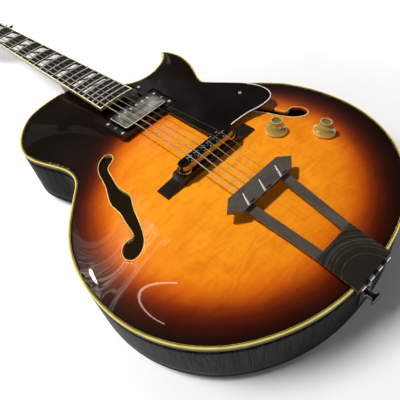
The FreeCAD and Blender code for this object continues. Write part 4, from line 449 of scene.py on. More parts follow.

# Binding: a cream plastic strip glued round the edge of the top, painted palest where it turns down as a
# painted highlight and darker on its side as a painted shade, with a black and a cream line inside it, a
# dark strip round the back, and a thin cream strip round each f-hole.
strip_lift, strip_wall, strip_nudge, lip_probe = 0.00003, 0.0005, 0.00001, 0.0005
cream_stops = [(0.35, tone(190, 168, 66)), (0.65, tone(222, 202, 100))]
painted_side_shade_stops = [(0.35, tone(156, 128, 40)), (0.65, tone(192, 164, 66))]
layered = Finish("layered_binding", Roughness=0.4, Specular_IOR_Level=0.06)
layer = layered.part(layered.place((1, 100, 0), run=True), "Y")
mottle = layered.noise(40)
in_cream = layered.ramp(layer, [(0.0, black), (0.05, white), (0.08, black), (0.16, white),
                                (0.75, black)], True)
on_turn = layered.ramp(layer, [(0.0, black), (0.26, white), (0.39, black)], True)
on_side = layered.ramp(layer, [(0.0, black), (0.40, white)], True)
# Painted shade: below the turn, the side of the strip is painted a darker olive cream than its top.
cream_with_painted_light = layered.mix(on_side, layered.ramp(mottle, cream_stops), layered.ramp(mottle, painted_side_shade_stops))
# Painted highlight: the turn of the strip is painted a pale cream.
cream_with_painted_light = layered.mix(on_turn, cream_with_painted_light, tone(228, 215, 146))
layered.set(Base_Color=layered.mix(in_cream, tone(14, 9, 6), cream_with_painted_light))
cream = Finish("pale_binding", Roughness=0.4, Coat_Weight=0.2, Coat_Roughness=0.15)
cream.clouded(40, tone(206, 188, 108), tone(238, 224, 150), (0.35, 0.65))
strip_in = np.array([3.6, 3.3, 3.0, 2.7, 2.4, 1.8, 1.2, 0.6, 0.18, 0.0, 0.0, 0.0, 0.0]) / 1000
strip_drop = np.array([0, 0, 0, 0, 0, 0, 0, 0, 0.18, 0.6, 2.5, 4.5, 6.5]) / 1000
strip_across = np.concatenate([[0.0], np.cumsum(np.hypot(np.diff(strip_in), np.diff(strip_drop)))])


def strip(name, edge, joined, level, arch, finish, slot="cream_binding"):
    """Section of the binding carried along an edge: its upper points lie on the arch, its lower ones on the
    side, and near the horn's tip they close up to a mitre."""
    tip = (lengths(edge)[-1] - lengths(edge) if joined else lengths(edge)) * mitre
    inward = np.minimum(strip_in[None], tip[:, None])
    plan = edge[:, None] + left_of(edge)[:, None] * inward[..., None]
    sign = 1.0 if arch > 0 else -1.0
    within = plan + left_of(edge)[:, None] * strip_nudge
    rise = (arch * swell(within.reshape(-1, 2))).reshape(inward.shape)
    lift = np.where(strip_drop > 0, 0.0, rise + sign * strip_lift)
    grid = np.dstack([plan, level + lift - sign * strip_drop[None]])
    if arch < 0:
        grid = grid[::-1]
    piece = backed(surface(name, grid, lengths(edge), strip_across), strip_wall)
    fitted(piece, "guitar", slot, finish, "body_binding")


strip("top_strip_long", long_edge, True, rim_z, top_arch, layered)
strip("top_strip_cutaway", cutaway_edge, False, rim_z, top_arch, layered)
strip("back_strip_long", long_edge, True, back_rim_z, -back_arch, rib_lacquer, "dark_rim")
strip("back_strip_cutaway", cutaway_edge, False, back_rim_z, -back_arch, rib_lacquer, "dark_rim")
lip_out = np.array([1.1, 0.9, 0.5, 0.15, 0.0, 0.0, 0.0, 0.0]) / 1000
lip_drop = np.array([0.05, -0.05, -0.06, -0.04, 0.12, 1.5, 3.5, 5.0]) / 1000
for name, loop in zip(("f_lip_bass", "f_lip_treble"), f_loops):
    turn = -1.0 if inside((loop + left_of(loop, True) * lip_probe)[:1], loop[:-1])[0] else 1.0
    plan = loop[:, None] + left_of(loop, True)[:, None] * turn * lip_out[None, :, None]
    height = (rim_z + top_arch * swell(plan.reshape(-1, 2))).reshape(plan.shape[:2])
    grid = np.dstack([plan, height - lip_drop[None]])[:-1]
    if turn < 0:
        grid = grid[::-1]
    lip = surface(name, np.swapaxes(grid, 0, 1), wrap=True)
    fitted(lip, "guitar", "cream_binding", cream, "body_binding")

# Neck: one piece of mahogany with its heel and head, stained dark, with a steel truss rod let in under
# the fingerboard.
neck_wood = Finish("neck_wood", Roughness=0.45, Specular_IOR_Level=0.15, Coat_Weight=0.1, Coat_Roughness=0.2)
pores = neck_wood.noise((380, 10, 380), 4.0, 0.4)
neck_wood.set(Base_Color=neck_wood.ramp(pores, [(0.34, tone(24, 12, 9)), (0.52, tone(58, 28, 18)),
                                               (0.68, tone(82, 42, 26))]))
neck_wood.bump(pores, 0.00003, 0.5)
nickel = Finish("polished_nickel", Metallic=1.0)
smear = nickel.clouded(55, tone(196, 192, 186), tone(226, 224, 220), detail=4.0)
nickel.set(Roughness=smear * 0.14 + 0.05)
steel = Finish("plain_steel", Metallic=1.0)
drawn = steel.clouded((900, 60, 900), tone(150, 148, 144), tone(186, 184, 180))
steel.set(Roughness=drawn * 0.2 + 0.25)
sharp_turn, flat_turn, weld = math.radians(32), math.radians(0.4), 0.00001


def dressed(name, finish, slot, ease=0.0, rounds=2):
    """Copy of a solid's mesh with its triangles joined and its flat faces whole again; edges that turn more
    than a sharp turn are rounded by ease."""
    mesh = frame["nodes"][name].data.copy()
    mesh.materials.clear()
    work = bmesh.new()
    work.from_mesh(mesh)
    bmesh.ops.remove_doubles(work, verts=work.verts, dist=weld)
    bmesh.ops.dissolve_limit(work, angle_limit=flat_turn, verts=work.verts, edges=work.edges)
    work.to_mesh(mesh)
    work.free()
    mesh.polygons.foreach_set("use_smooth", np.ones(len(mesh.polygons), bool))
    mesh.set_sharp_from_angle(angle=sharp_turn)
    piece = linked(name + "_piece", mesh)
    if ease:
        bevel = piece.modifiers.new("eased_edges", "BEVEL")
        bevel.width, bevel.segments, bevel.angle_limit = ease, rounds, sharp_turn
        bevel.harden_normals = True
    body = next(body for body, names in frame["record"]["behaviour"]["bodies"].items() if name in names)
    return fitted(piece, body, slot, finish, name)


dressed("neck", neck_wood, "neck_wood")
painted(steel, "truss_rod")

# Fingerboard: ebony with cream binding that is painted darker on its sides as a painted shade, twenty
# frets of nickel wire and pearl blocks split by a slanted line.
ebony = Finish("ebony", Roughness=0.42)
streak = ebony.noise((700, 12, 90), 4.0, 0.3)
ebony.set(Base_Color=ebony.ramp(streak, [(0.35, tone(17, 15, 15)), (0.60, tone(34, 30, 29)),
                                         (0.72, tone(50, 43, 40))]))
ebony.bump(streak, 0.00003, 0.6)
pearl = Finish("pearl", Roughness=0.16, Coat_Weight=0.7, Coat_Roughness=0.03)
nacre = pearl.noise((90, 60, 90), 4.0, 2.2)
pearl.set(Base_Color=pearl.ramp(nacre, [(0.30, tone(186, 188, 180)), (0.45, tone(240, 237, 226)),
                                       (0.58, tone(216, 222, 214)), (0.70, tone(246, 240, 230))]))
dressed("fingerboard", ebony, "ebony", 0.0003)
board_cream = Finish("board_binding", Roughness=0.4, Coat_Weight=0.2, Coat_Roughness=0.15)
upright = board_cream.part(board_cream.node("TexCoord", {}, {}, "Normal"), "Z")
facing_up = board_cream.ramp(upright, [(0.3, black), (0.8, white)])
board_top = board_cream.ramp(board_cream.noise(40), [(0.35, tone(232, 224, 180)),
                                                    (0.65, tone(250, 244, 212))])
# Painted shade: where the binding does not face up it is painted a darker olive cream.
board_cream.set(Base_Color=board_cream.mix(facing_up, tone(176, 152, 84), board_top))
dressed("fingerboard_binding", board_cream, "cream_binding", 0.0003)
fret_wire = Finish("fret_wire", Metallic=0.45, Roughness=0.33)
fret_wire.clouded(200, tone(206, 202, 192), tone(234, 230, 222))
dressed("frets", fret_wire, "nickel", 0.0007, 3)
dressed("position_inlays", pearl, "pearl")

# Nut, head face and adjusting cover: a bone nut with a groove for each string, a black lacquered veneer on
# the head, and a black plastic cover over the end of the truss rod.
bone = Finish("bone", Roughness=0.4)
bone.clouded(160, tone(216, 206, 176), tone(234, 226, 202), (0.35, 0.65))
black_gloss = Finish("black_gloss", Coat_Weight=1.0, Coat_Roughness=0.02)
wipe = black_gloss.clouded(30, tone(9, 9, 10), tone(18, 17, 18), detail=5.0)
black_gloss.set(Roughness=wipe * 0.2 + 0.1)
dressed("nut", bone, "bone", 0.0003)
dressed("head_veneer", black_gloss, "black_gloss", 0.0003)
dressed("truss_rod_cover", black_gloss, "black_gloss", 0.0005)

# Tuners: six nickel housings with a worm and a gear inside, slotted string posts in flanged bushings, and
# oval metal buttons.
dressed("tuner_housings", nickel, "nickel", 0.0004)
for number in range(1, 7):
    dressed("string_post_%d" % number, nickel, "nickel", 0.0003)
    dressed("tuner_button_%d" % number, nickel, "nickel", 0.0006, 3)

# Pickup: two coils under a nickel cover with a row of screw poles, hung from two long screws in a black
# plastic ring. The cover has a painted, glowing highlight along its rim and a painted shade below it.
black_plain = Finish("black_plain", Coat_Weight=0.3, Coat_Roughness=0.12)
moulded = black_plain.clouded(900, tone(16, 16, 17), tone(30, 30, 31), detail=2.0)
black_plain.set(Roughness=moulded * 0.2 + 0.28)
black_plain.bump(moulded, 0.00002, 0.5)
brass = Finish("brass_parts", Metallic=1.0, Roughness=0.32)
brass.clouded(120, tone(176, 138, 66), tone(206, 170, 92))
dressed("pickup_ring", black_plain, "black_plain", 0.0008, 3)
cover_edge_y, cover_edge_z, cover_slope, rim_span = -0.17016, 0.12264, 0.06116, 0.0025
cover_nickel = Finish("cover_nickel", Emission_Strength=1.0)
wear = cover_nickel.noise((26, 60, 26), 3.0, 1.0)
cover_y, cover_z = [cover_nickel.part(cover_nickel.place(), axis) for axis in "YZ"]
below_top = (cover_edge_z - (cover_y - cover_edge_y) * cover_slope - cover_z) * (1 / rim_span)
# Painted highlight: a pale band that glows, just under the top edge of the cover.
painted_rim_highlight = cover_nickel.ramp(below_top, [(0.02, black), (0.08, white), (0.44, white), (0.52, black)])
# Painted shade: the side of the cover below that band is painted dark.
painted_shade_below_rim = cover_nickel.ramp(below_top, [(0.40, black), (0.50, white)])
bright_tone = cover_nickel.ramp(wear, [(0.34, tone(120, 124, 126)), (0.5, tone(184, 189, 190)),
                                       (0.64, tone(226, 231, 232))])
plated = cover_nickel.mix(painted_shade_below_rim, bright_tone, tone(40, 36, 32))
cover_nickel.set(Base_Color=cover_nickel.mix(painted_rim_highlight, plated, tone(236, 234, 228)),
                 Metallic=1 - painted_rim_highlight * 0.9, Roughness=wear * 0.12 + painted_shade_below_rim * 0.2 + 0.05,
                 Emission_Color=cover_nickel.mix(painted_rim_highlight, black, tone(164, 162, 157)))
dressed("pickup_cover", cover_nickel, "nickel", 0.0012, 3)
dressed("pole_screws", fret_wire, "nickel", 0.0004)
dressed("pickup_height_screws", nickel, "nickel", 0.0004)
painted(black_plain, "pickup_coils")
painted(brass, "pickup_baseplate")

# Pickguard: a black plate screwed to two short posts, over the treble half of the top. Its curved edge is
# cut back to a pale layer.
guard_corner, guard_size = (0.027, tail_y + 0.232), (0.114, 0.182)
guard_top, guard_points = 0.1165, 220
guard_shares = [(0.263, 0.033), (0.412, 0.033), (0.561, 0.024), (0.658, 0.009), (0.781, 0.0), (0.886, 0.008),
                (0.951, 0.033), (0.998, 0.096), (0.996, 0.173), (0.943, 0.264)]
edge_in_by = np.array([-0.03, -0.03, 1.25, 1.30]) / 1000
edge_drop = np.array([1.1, -0.03, -0.03, 0.10]) / 1000
edge_white = Finish("guard_edge", Roughness=0.3, Coat_Weight=0.4)
edge_white.clouded(300, tone(222, 220, 214), tone(240, 238, 232), detail=2.0)
guard_black = Finish("guard_black", Roughness=0.3, Specular_IOR_Level=0.1, Coat_Weight=0.35,
                     Coat_Roughness=0.03)
guard_black.clouded(30, tone(12, 11, 11), tone(22, 20, 19), detail=5.0)
dressed("pickguard", guard_black, "black_gloss", 0.0002)
guard_line = smooth_line(np.array(guard_shares) * guard_size + guard_corner, guard_points)
guard_plan = guard_line[:, None] + left_of(guard_line)[:, None] * edge_in_by[None, :, None]
guard_level = np.broadcast_to(guard_top - edge_drop, guard_plan.shape[:2])
guard_edge = surface("guard_edge", np.dstack([guard_plan, guard_level]))
fitted(guard_edge, "guitar", "bone", edge_white, "pickguard")
painted(black_plain, "pickguard_posts")

# Bridge: a rosewood base fitted to the arch, two threaded posts with knurled wheels, and a nickel body in
# which six saddles slide on screws.
rosewood = Finish("rosewood", Roughness=0.45, Coat_Weight=0.25, Coat_Roughness=0.2)
fibre = rosewood.noise((24, 420, 420), 4.0, 0.8)
rosewood.set(Base_Color=rosewood.ramp(fibre, [(0.34, tone(12, 9, 7)), (0.50, tone(25, 18, 13)),
                                             (0.66, tone(46, 35, 25))]))
rosewood.bump(fibre, 0.00005, 0.6)
dressed("bridge_base", rosewood, "bridge_wood", 0.0009, 3)
for name in ("bridge_posts", "thumbwheel_bass", "thumbwheel_treble"):
    dressed(name, nickel, "nickel", 0.0003)
bridge_nickel = Finish("bridge_nickel", Metallic=1.0)
rubbing = bridge_nickel.clouded(140, tone(122, 112, 102), tone(176, 168, 158), detail=4.0)
bridge_nickel.set(Roughness=rubbing * 0.2 + 0.08)
dressed("bridge_body", bridge_nickel, "nickel", 0.0007, 3)
saddle_steel = Finish("saddle_steel", Metallic=0.8, Roughness=0.25)
saddle_steel.clouded(300, tone(30, 28, 27), tone(96, 92, 88), (0.4, 0.6))
dressed("saddle_screws", fret_wire, "nickel", 0.0003)


def edged(piece, finish):
    """Gives the rounded edges of a piece a finish of their own."""
    piece.data.materials.append(finish.material)
    piece.modifiers["eased_edges"].material = 1


for number in range(1, 7):
    edged(dressed("saddle_%d" % number, saddle_steel, "nickel", 0.0004, 1), fret_wire)

# Tailpiece: a forked frame of dark plated steel hinged at the tail, with painted reflection arcs on its
# broad end, and a six-sided bar across its arms that holds the balls of the strings.
tail_tilt = math.radians(9)
tail_cos, tail_sin = math.cos(tail_tilt), math.sin(tail_tilt)
tail_frame = np.array([[1, 0, 0], [0, tail_cos, -tail_sin], [0, tail_sin, tail_cos]])
tail_origin = np.array([0, -0.511293, 0.0932])
bar_top, bar_rear = 0.0077, 0.13475
reflection_arc_shift, reflection_arc_lines = (0.010, 0.516, 0.0), 260
dark_plate = Finish("dark_plate", Coat_Weight=0.5, Coat_Roughness=0.04)
from_hinge = dark_plate.part(dark_plate.place(), "Y") - float(tail_origin[1])
on_arms = dark_plate.ramp(from_hinge * 10, [(0.46, black), (0.49, white)])
# Partly painted highlight: the frame's hinge knuckles are bright nickel, the hinge plate's dark.
on_barrel = dark_plate.ramp(from_hinge * 1000 + 1, [(0.0, white), (1.0, black)])
haze = dark_plate.noise((70, 30, 70), 4.0, 0.6)
arm_tone = dark_plate.ramp(haze, [(0.3, tone(98, 88, 80)), (0.7, tone(122, 111, 102))])
# Painted reflection: pale arcs round a centre just beyond the hinge.
arc_reach = dark_plate.distance(dark_plate.place((1, 1, 0), reflection_arc_shift))
arcs = dark_plate.node("TexNoise", {"noise_dimensions": "1D"},
                       {"W": arc_reach * reflection_arc_lines, "Scale": 1.0, "Detail": 1.0})
reflection_arc_fade = dark_plate.ramp(arc_reach * 20, [(0.45, black), (0.90, white)])
painted_reflection_arcs = arcs + (haze - 0.5) * 0.3 + reflection_arc_fade * 0.3 - 0.24
painted_arc_tone = dark_plate.ramp(painted_reflection_arcs, [(0.40, tone(66, 58, 51)), (0.54, tone(78, 71, 62)),
                                      (0.64, tone(106, 103, 86)), (0.72, tone(72, 70, 58))])
plate_tone = dark_plate.mix(on_arms, painted_arc_tone, arm_tone)
dark_plate.set(Base_Color=dark_plate.mix(on_barrel, plate_tone, tone(214, 210, 202)),
               Metallic=0.6 - on_arms * 0.15 + on_barrel * 0.3,
               Roughness=on_arms * 0.22 + haze * 0.08 + 0.03)
# Painted highlight: the rounded edges of the tailpiece frame and the hinge plate are painted pale.
painted_edge_highlight = Finish("painted_edge_highlight", Metallic=0.7, Roughness=0.3)
painted_edge_highlight.clouded(120, tone(120, 104, 90), tone(206, 186, 164), (0.35, 0.65))
edged(dressed("tailpiece_frame", dark_plate, "nickel", 0.0007, 1), painted_edge_highlight)
bar_face = Finish("bar_face", Coat_Weight=0.6, Coat_Roughness=0.08, Metallic=0.3)
bar_haze = bar_face.noise((60, 240, 60), 4.0, 0.4)
bar_face.set(Base_Color=bar_face.ramp(bar_haze, [(0.3, tone(92, 83, 74)), (0.7, tone(110, 100, 90))]),
             Roughness=bar_haze * 0.2 + 0.24)
dressed("tailpiece_bar", bar_face, "inlaid_bar", 0.0007, 3)


def bar_inlay(name, front_x, rear_x, halves, ends, finish, slot):
    """Thin blocks on the bar, one for each pair of ends: straight edges from the front half width to the rear
    one, with a section that stands on the bar's face and turns down all round."""
    across = np.array([1.0, 0.9, -0.9, -1.0])
    proud = np.array([-0.0003, 0.00012, 0.00012, -0.0003])
    share = np.array([0.0, 0.02, 0.98, 1.0])
    half = halves[0] + (halves[1] - halves[0]) * share
    middle = np.array(front_x)[:, None] + (np.array(rear_x) - np.array(front_x))[:, None] * share
    x = middle[..., None] + half[:, None] * across
    y = np.broadcast_to((ends[0] + (ends[1] - ends[0]) * share)[None, :, None], x.shape)
    z = np.broadcast_to(bar_top + np.minimum(proud[None], proud[:, None]), x.shape)
    grid = np.stack([x, y, z], axis=-1) @ tail_frame.T + tail_origin
    fitted(surface(name, grid), "tailpiece", slot, finish, "tailpiece_bar")


front_x, rear_x, slit_shift = (-0.0238, 0.0023, 0.0296), (-0.0302, -0.0039, 0.0228), 0.0072
wedge_halves, wedge_ends = (0.0005, 0.0016), (0.1506, bar_rear + 0.0009)
slit_halves, slit_ends = (0.004, 0.004), (bar_rear + 0.0030, bar_rear + 0.0012)
slit_x = [x + slit_shift for x in rear_x]
bar_inlay("bar_wedges", front_x, rear_x, wedge_halves, wedge_ends, pearl, "pearl")
bar_inlay("bar_slits", slit_x, slit_x, slit_halves, slit_ends, black_plain, "black_plain")
leaf_steel = Finish("leaf_steel", Metallic=0.6, Roughness=0.3)
leaf_steel.clouded(90, tone(26, 24, 21), tone(44, 41, 37), detail=4.0)
edged(dressed("hinge_plate", leaf_steel, "nickel", 0.0005, 1), painted_edge_highlight)
painted(steel, "hinge_pin")
button_steel = Finish("button_steel", Metallic=1.0, Roughness=0.2)
button_steel.clouded(140, tone(58, 55, 48), tone(128, 124, 112), detail=4.0)
dressed("strap_button", button_steel, "nickel", 0.0005, 3)

# Controls: two potentiometers under the top, bell-shaped amber knobs on their shafts, painted palest at the
# brim and glowing there, a painted light for light that runs through the plastic, and the jack in the treble
# side with its leads.
knob_span = 0.02
knob_tones_and_brim_light = [(0.07, tone(238, 214, 140)), (0.18, tone(240, 216, 136)), (0.25, tone(214, 184, 92)),
              (0.36, tone(190, 156, 70)), (0.52, tone(200, 168, 80)), (0.74, tone(206, 178, 98)),
              (0.79, tone(132, 106, 54)), (0.86, tone(214, 192, 122))]
knobs = [("volume_knob", (0.0903, -0.315793, 0.106438), (0.061701, -0.005256, 0.998081)),
         ("tone_knob", (0.128, -0.360993, 0.101619), (0.134001, -0.049981, 0.98972))]
for name, foot, upward in knobs:
    amber = Finish("amber_" + name, Roughness=0.2, Coat_Weight=0.7, Coat_Roughness=0.03,
                   Emission_Strength=1.0)
    from_foot = amber.place(shift=tuple(-x for x in foot))
    above = amber.node("VectorMath", {"operation": "DOT_PRODUCT"}, {0: from_foot, 1: upward}, "Value")
    height_on_knob = above * (1 / knob_span) + (amber.noise(160) - 0.5) * 0.05
    # Painted light: low on the skirt the knob is painted pale and glows.
    amber.set(Base_Color=amber.ramp(height_on_knob, knob_tones_and_brim_light),
              Metallic=amber.ramp(height_on_knob, [(0.17, black), (0.23, white)]) * 0.3,
              Emission_Color=amber.ramp(height_on_knob, [(0.10, tone(92, 78, 36)), (0.26, black)]))
    dressed(name, amber, "amber_knob", 0.0006, 3)
dressed("output_jack", nickel, "nickel", 0.0004)
lead_cover = Finish("lead_cover", Roughness=0.6)
lead_cover.clouded(800, tone(20, 20, 21), tone(40, 39, 40), detail=2.0)
painted(steel, "control_pots")
painted(lead_cover, "wiring")

# Wood screws: countersunk nickel heads that hold the ring, the guard, the cover, the hinge plate and the
# tuners.
dressed("wood_screws", fret_wire, "nickel", 0.0003)

# Strings: six of steel, four of them wound, from their balls in the tailpiece over the saddles and the nut
# to two turns round each post.
string_half = np.array([0.66, 0.535, 0.405, 0.305, 0.215, 0.165]) / 1000
ball_half, ball_length, ball_edge, ball_clear = 0.0017, 0.0034, 0.0001, 1.1
coil_gap, coil_turns, coil_top = 0.0006, 2.25, 0.0093
string_sides, short_rows, neck_rows, head_rows, coil_rows = 10, 16, 60, 14, 110
neck_shine_y = -0.29
saddle_x = np.linspace(-0.026225, 0.026225, 6)
ball_spot = np.column_stack([saddle_x, np.full(6, -0.370601), np.full(6, 0.120748)])
saddle_spot = np.column_stack([saddle_x, np.full(6, -0.28406), np.full(6, 0.1338)])
nut_spot = np.column_stack([np.linspace(-0.018, 0.018, 6), np.full(6, 0.345198), np.full(6, 0.096703)])
post_axis = np.array([0.0, 0.291871, 0.956458])
post_ahead = np.array([0.0, 0.956458, -0.291871])
post_y = np.array([0.395741, 0.435912, 0.476083, 0.476083, 0.435912, 0.395741])
post_z = np.array([0.075494, 0.063235, 0.050976, 0.050976, 0.063235, 0.075494])
post_spot = np.column_stack([np.repeat([-0.024, 0.024], 3), post_y, post_z])
coil_start = np.array([0.0523, 0.1049, 0.1256, 3.0153, 3.0334, 3.0802])
coil_sense = np.repeat([1.0, -1.0], 3)
coil_half = np.array([3.14, 3.015, 2.885, 2.785, 2.695, 2.645]) / 1000
string_steel = Finish("string_steel", Metallic=0.6, Roughness=0.3)
winding = string_steel.noise((3200, 40, 0), 2.0, run=True)
string_x, string_y = [string_steel.part(string_steel.place(), axis) for axis in "XY"]
# Painted light and shade: over the neck the strings are painted pale on the bass side, darker on the treble
# side.
over_neck = string_steel.ramp((string_y - neck_shine_y) * 100, [(0.0, black), (1.0, white)])
neck_shine = string_steel.ramp(string_x * 40 + 0.5, [(0.0, tone(226, 220, 210)), (1.0, tone(120, 116, 110))])
string_shine = string_steel.mix(over_neck, white, neck_shine)
string_tone = string_steel.ramp(winding, [(0.3, tone(220, 214, 200)), (0.7, tone(255, 252, 244))])
string_steel.set(Base_Color=string_steel.mix(1.0, string_tone, string_shine, "MULTIPLY"))
string_steel.bump(winding, 0.00003, 0.5)


def straight_run(first, last, rows):
    share = np.linspace(0.0, 1.0, rows)[None, :, None]
    return first[:, None] + (last - first)[:, None] * share


def tubes(name, paths, half):
    """Round section carried along six paths: its plane is square to the central difference of the path."""
    ahead = unit(np.gradient(paths, axis=1))
    side = unit(np.cross(ahead, post_axis))
    up = np.cross(ahead, side)
    full_turn = np.linspace(0.0, 2 * math.pi, string_sides + 1)
    turn = full_turn[:-1]
    ring = side[:, :, None] * np.cos(turn)[:, None] + up[:, :, None] * np.sin(turn)[:, None]
    grid = paths[:, :, None] + ring * half[:, :, None, None]
    piece = surface(name, grid, lengths(paths[0]), full_turn / 1000, True)
    piece.data.materials.append(string_steel.material)
    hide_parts("strings")
    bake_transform(piece)


run_along = unit(saddle_spot - ball_spot)
ball_steps = np.array([0.0, ball_edge, ball_length - ball_edge, ball_length])
ball_path = ball_spot[:, None] + run_along[:, None] * ball_steps[None, :, None]
ball_radius = np.column_stack([np.zeros(6), np.full(6, ball_half), np.full(6, ball_half), string_half])
half_way = (ball_spot + saddle_spot) / 2
first_run = straight_run(ball_spot + run_along * ball_length * ball_clear, half_way, short_rows)
short_half = np.repeat(string_half[:, None], short_rows, axis=1)
tubes("strings_at_tailpiece", np.concatenate([ball_path, first_run], axis=1),
      np.concatenate([ball_radius, short_half], axis=1))
tubes("strings_behind_bridge", straight_run(half_way, saddle_spot, short_rows), short_half)
turned_by = np.linspace(0.0, 2 * math.pi * coil_turns, coil_rows)
angle = coil_start[:, None] + coil_sense[:, None] * turned_by
coil_drop = coil_top - (2 * string_half[:, None] + coil_gap) * turned_by / (2 * math.pi)
coil = (post_spot[:, None] + coil_half[:, None, None] * np.cos(angle)[..., None] * np.array([1.0, 0.0, 0.0])
        + coil_half[:, None, None] * np.sin(angle)[..., None] * post_ahead + coil_drop[..., None] * post_axis)
front_run = straight_run(saddle_spot, nut_spot, neck_rows)
head_run = straight_run(nut_spot, coil[:, 0], head_rows)[:, 1:-1]
full_run = np.concatenate([front_run, head_run, coil], axis=1)
front_half = np.repeat(string_half[:, None], full_run.shape[1], axis=1)
front_half[:, -1] = 0.0
tubes("strings_over_neck", full_run, front_half)

# Floor, light and camera: a pale floor that glows away from the body, a small lamp beyond the head, a soft
# one for the floor, weak lamps that fill the sides, curtained windows that the lacquer and the metal
# mirror, and a camera above the tail on the bass side.
floor_half, glow_scale, glow_shift = 6.0, (0.4, 0.4, 0.0), (0.0, 0.11, 0.0)
floor = linked("floor", bpy.data.meshes.new("floor"))
floor_corners = [(x * floor_half, y * floor_half, 0) for x, y in ((-1, -1), (1, -1), (1, 1), (-1, 1))]
floor.data.from_pydata(floor_corners, [], [(0, 1, 2, 3)])
paper = Finish("floor_paper", Roughness=0.9, Specular_IOR_Level=0.1, Emission_Strength=1.0)
paper.clouded(8, tone(239, 239, 239), tone(243, 243, 243))
seen = paper.node("LightPath", {}, {}, "Is Camera Ray") + paper.node("LightPath", {}, {}, "Is Glossy Ray")
away = paper.distance(paper.place(glow_scale, glow_shift))
glow = paper.ramp(away, [(0.10, (0.04, 0.04, 0.04, 1.0)), (0.45, white)])
paper.set(Emission_Color=paper.mix(seen, black, glow))
floor.data.materials.append(paper.material)

bpy.context.scene.world = bpy.data.worlds.new("room")
room = Finish("room", bpy.context.scene.world, "Background")
wall_height = room.part(room.node("TexCoord", {}, {}, "Generated"), "Z")
walls = room.ramp(wall_height, [(0.0, white), (0.05, (0.6, 0.6, 0.6, 1.0)),
                                (0.15, (0.04, 0.033, 0.028, 1.0)), (1.0, (0.022, 0.018, 0.015, 1.0))])
mirrored = room.node("LightPath", {}, {}, "Is Glossy Ray")
straight = room.node("LightPath", {}, {}, "Is Camera Ray")
ambient = room.mix(mirrored, (0.075, 0.075, 0.075, 1.0), walls)
room.set(Color=room.mix(straight, ambient, white))
body_middle = np.array([0.0, -0.25, 0.1])
cloth_tint, cloth_fade = (1.0, 0.88, 0.76), 0.3


def towards(azimuth, elevation, distance=1.6, start=body_middle):
    """A place at a distance from a spot on the top, in a direction given in degrees."""
    turn, rise = math.radians(azimuth), math.radians(elevation)
    ring = distance * math.cos(rise)
    return start + (ring * math.cos(turn), ring * math.sin(turn), distance * math.sin(rise))


def lamp(name, place, size, power, mirror_image=True, along=(1.0, 0.0, 0.0)):
    """Flat lamp that faces the body, with its width along a direction."""
    light = bpy.data.lights.new(name, "AREA")
    light.shape, light.size, light.size_y, light.energy = "RECTANGLE", size[0], size[1], power
    holder = linked(name, light)
    back_axis = unit(place - body_middle)
    right = unit(along - back_axis * np.dot(along, back_axis))
    turned = np.eye(4)
    turned[:3] = np.stack([right, np.cross(back_axis, right), back_axis, place], axis=1)
    holder.matrix_world = Matrix(turned.tolist())
    holder.visible_camera, holder.visible_glossy = False, mirror_image
    return holder


def hung_cloth(holder, scale, warp, stops):
    """Light through cloth: cloudy streaks that die away towards the edges of the lamp's face, by the product
    of 1 - (2u - 1)^2 and 1 - (2v - 1)^2."""
    cloth = Finish("cloth", holder.data, "Emission")
    face = cloth.node("NewGeometry", {}, {}, "Parametric")
    spread = cloth.node("Mapping", {}, {"Vector": face, "Scale": scale})
    folds = cloth.node("TexNoise", {}, {"Vector": spread, "Scale": 1.0, "Detail": 0.0, "Distortion": warp})
    u, v = [cloth.part(face, axis) * 2 - 1 for axis in "XY"]
    fade = (1 - u * u) * (1 - v * v)
    tints = [(place, (*(level * share for share in cloth_tint), 1.0)) for place, level in stops]
    cloth.set(Color=cloth.ramp(folds - (1 - fade) * cloth_fade, tints))


def shared_out(holder, name, state):
    """Lets a lamp shine on the floor alone, or on everything but the floor."""
    chosen = bpy.data.collections.new(name)
    chosen.objects.link(floor)
    chosen.collection_objects[0].light_linking.link_state = state
    holder.light_linking.receiver_collection = chosen


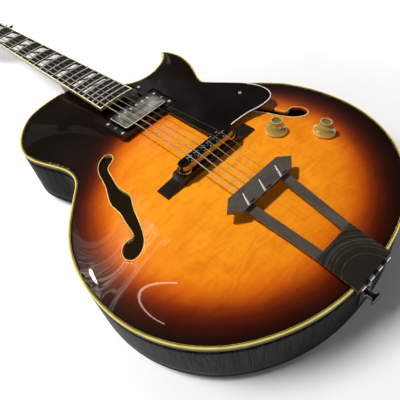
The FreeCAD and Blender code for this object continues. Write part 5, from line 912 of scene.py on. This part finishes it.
bass_bout, lower_bout = np.array([-0.165, -0.29, 0.095]), np.array([-0.16, -0.365, 0.096])
upper_bout, pickup_face = np.array([-0.08, -0.10, 0.10]), np.array([0.0, -0.15, 0.12])
shared_out(lamp("key_lamp", towards(115, 64, 2.0), (0.18, 0.18), 43, False), "lit_by_key", "EXCLUDE")
shared_out(lamp("floor_lamp", towards(148, 60, 2.0), (0.8, 0.8), 48, False), "lit_by_floor_lamp", "INCLUDE")
shared_out(lamp("fill_lamp", towards(215, 32, 1.9), (0.7, 0.5), 3.0, False), "lit_by_fill", "EXCLUDE")
lamp("side_lamp", towards(-20, 15, 2.0), (0.5, 0.5), 3, False)
hung_cloth(lamp("spark_lamp", towards(95, 53.5, start=bass_bout), (0.05, 0.16), 1.6), (1.0, 1.0, 1.0), 0.0,
           [(0.26, 0.0), (0.46, 1.0)])
hung_cloth(lamp("window_lamp", towards(82, 34, start=upper_bout), (0.5, 0.6), 0.12), (3.6, 3.4, 1.0), 0.3,
           [(0.44, 0.0), (0.47, 0.8), (0.60, 1.0)])
hung_cloth(lamp("cover_lamp", towards(62, 35, start=pickup_face), (0.60, 0.45), 0.6), (5.0, 3.0, 1.0), 1.2,
           [(0.22, 0.10), (0.38, 0.30), (0.46, 1.0), (0.56, 0.35)])
hung_cloth(lamp("curtain_lamp", towards(94, 55.5, start=bass_bout), (0.60, 0.36), 3.8), (1.5, 5.5, 1.0), 0.5,
           [(0.24, 0.0), (0.30, 0.45), (0.335, 0.08), (0.37, 0.05), (0.41, 0.55), (0.44, 0.75), (0.465, 0.05),
            (0.51, 0.08), (0.55, 1.0), (0.60, 0.3)])
hung_cloth(lamp("low_curtain", towards(88, 48, start=bass_bout), (0.60, 0.32), 0.8), (1.2, 5.5, 1.0), 0.4,
           [(0.24, 0.0), (0.30, 0.5), (0.36, 0.6), (0.385, 0.05), (0.41, 0.6), (0.47, 0.7), (0.49, 0.05),
            (0.52, 0.7), (0.58, 0.9), (0.60, 0.1)])
gap_ends = towards(110, 56, start=lower_bout), towards(96, 70.5, start=lower_bout)
gap_along = gap_ends[1] - gap_ends[0]
gap_size = (np.linalg.norm(gap_along), 0.010)
gap = lamp("gap_lamp", (gap_ends[0] + gap_ends[1]) / 2, gap_size, 0.13, True, gap_along)
gap.data.color = (1.0, 0.78, 0.58)

camera_data = bpy.data.cameras.new("camera")
camera_data.sensor_width, camera_data.lens = 36.0, 38.77
camera_data.clip_start = 0.01
camera = linked("camera", camera_data)
view = np.eye(4)
view[:3] = np.transpose([(0.7093, -0.6922, -0.1329), (0.5965, 0.4891, 0.6364), (-0.3755, -0.5307, 0.7598),
                         (-0.2347, -0.58129, 0.478)])
camera.matrix_world = Matrix(view.tolist())
bpy.context.scene.camera = camera
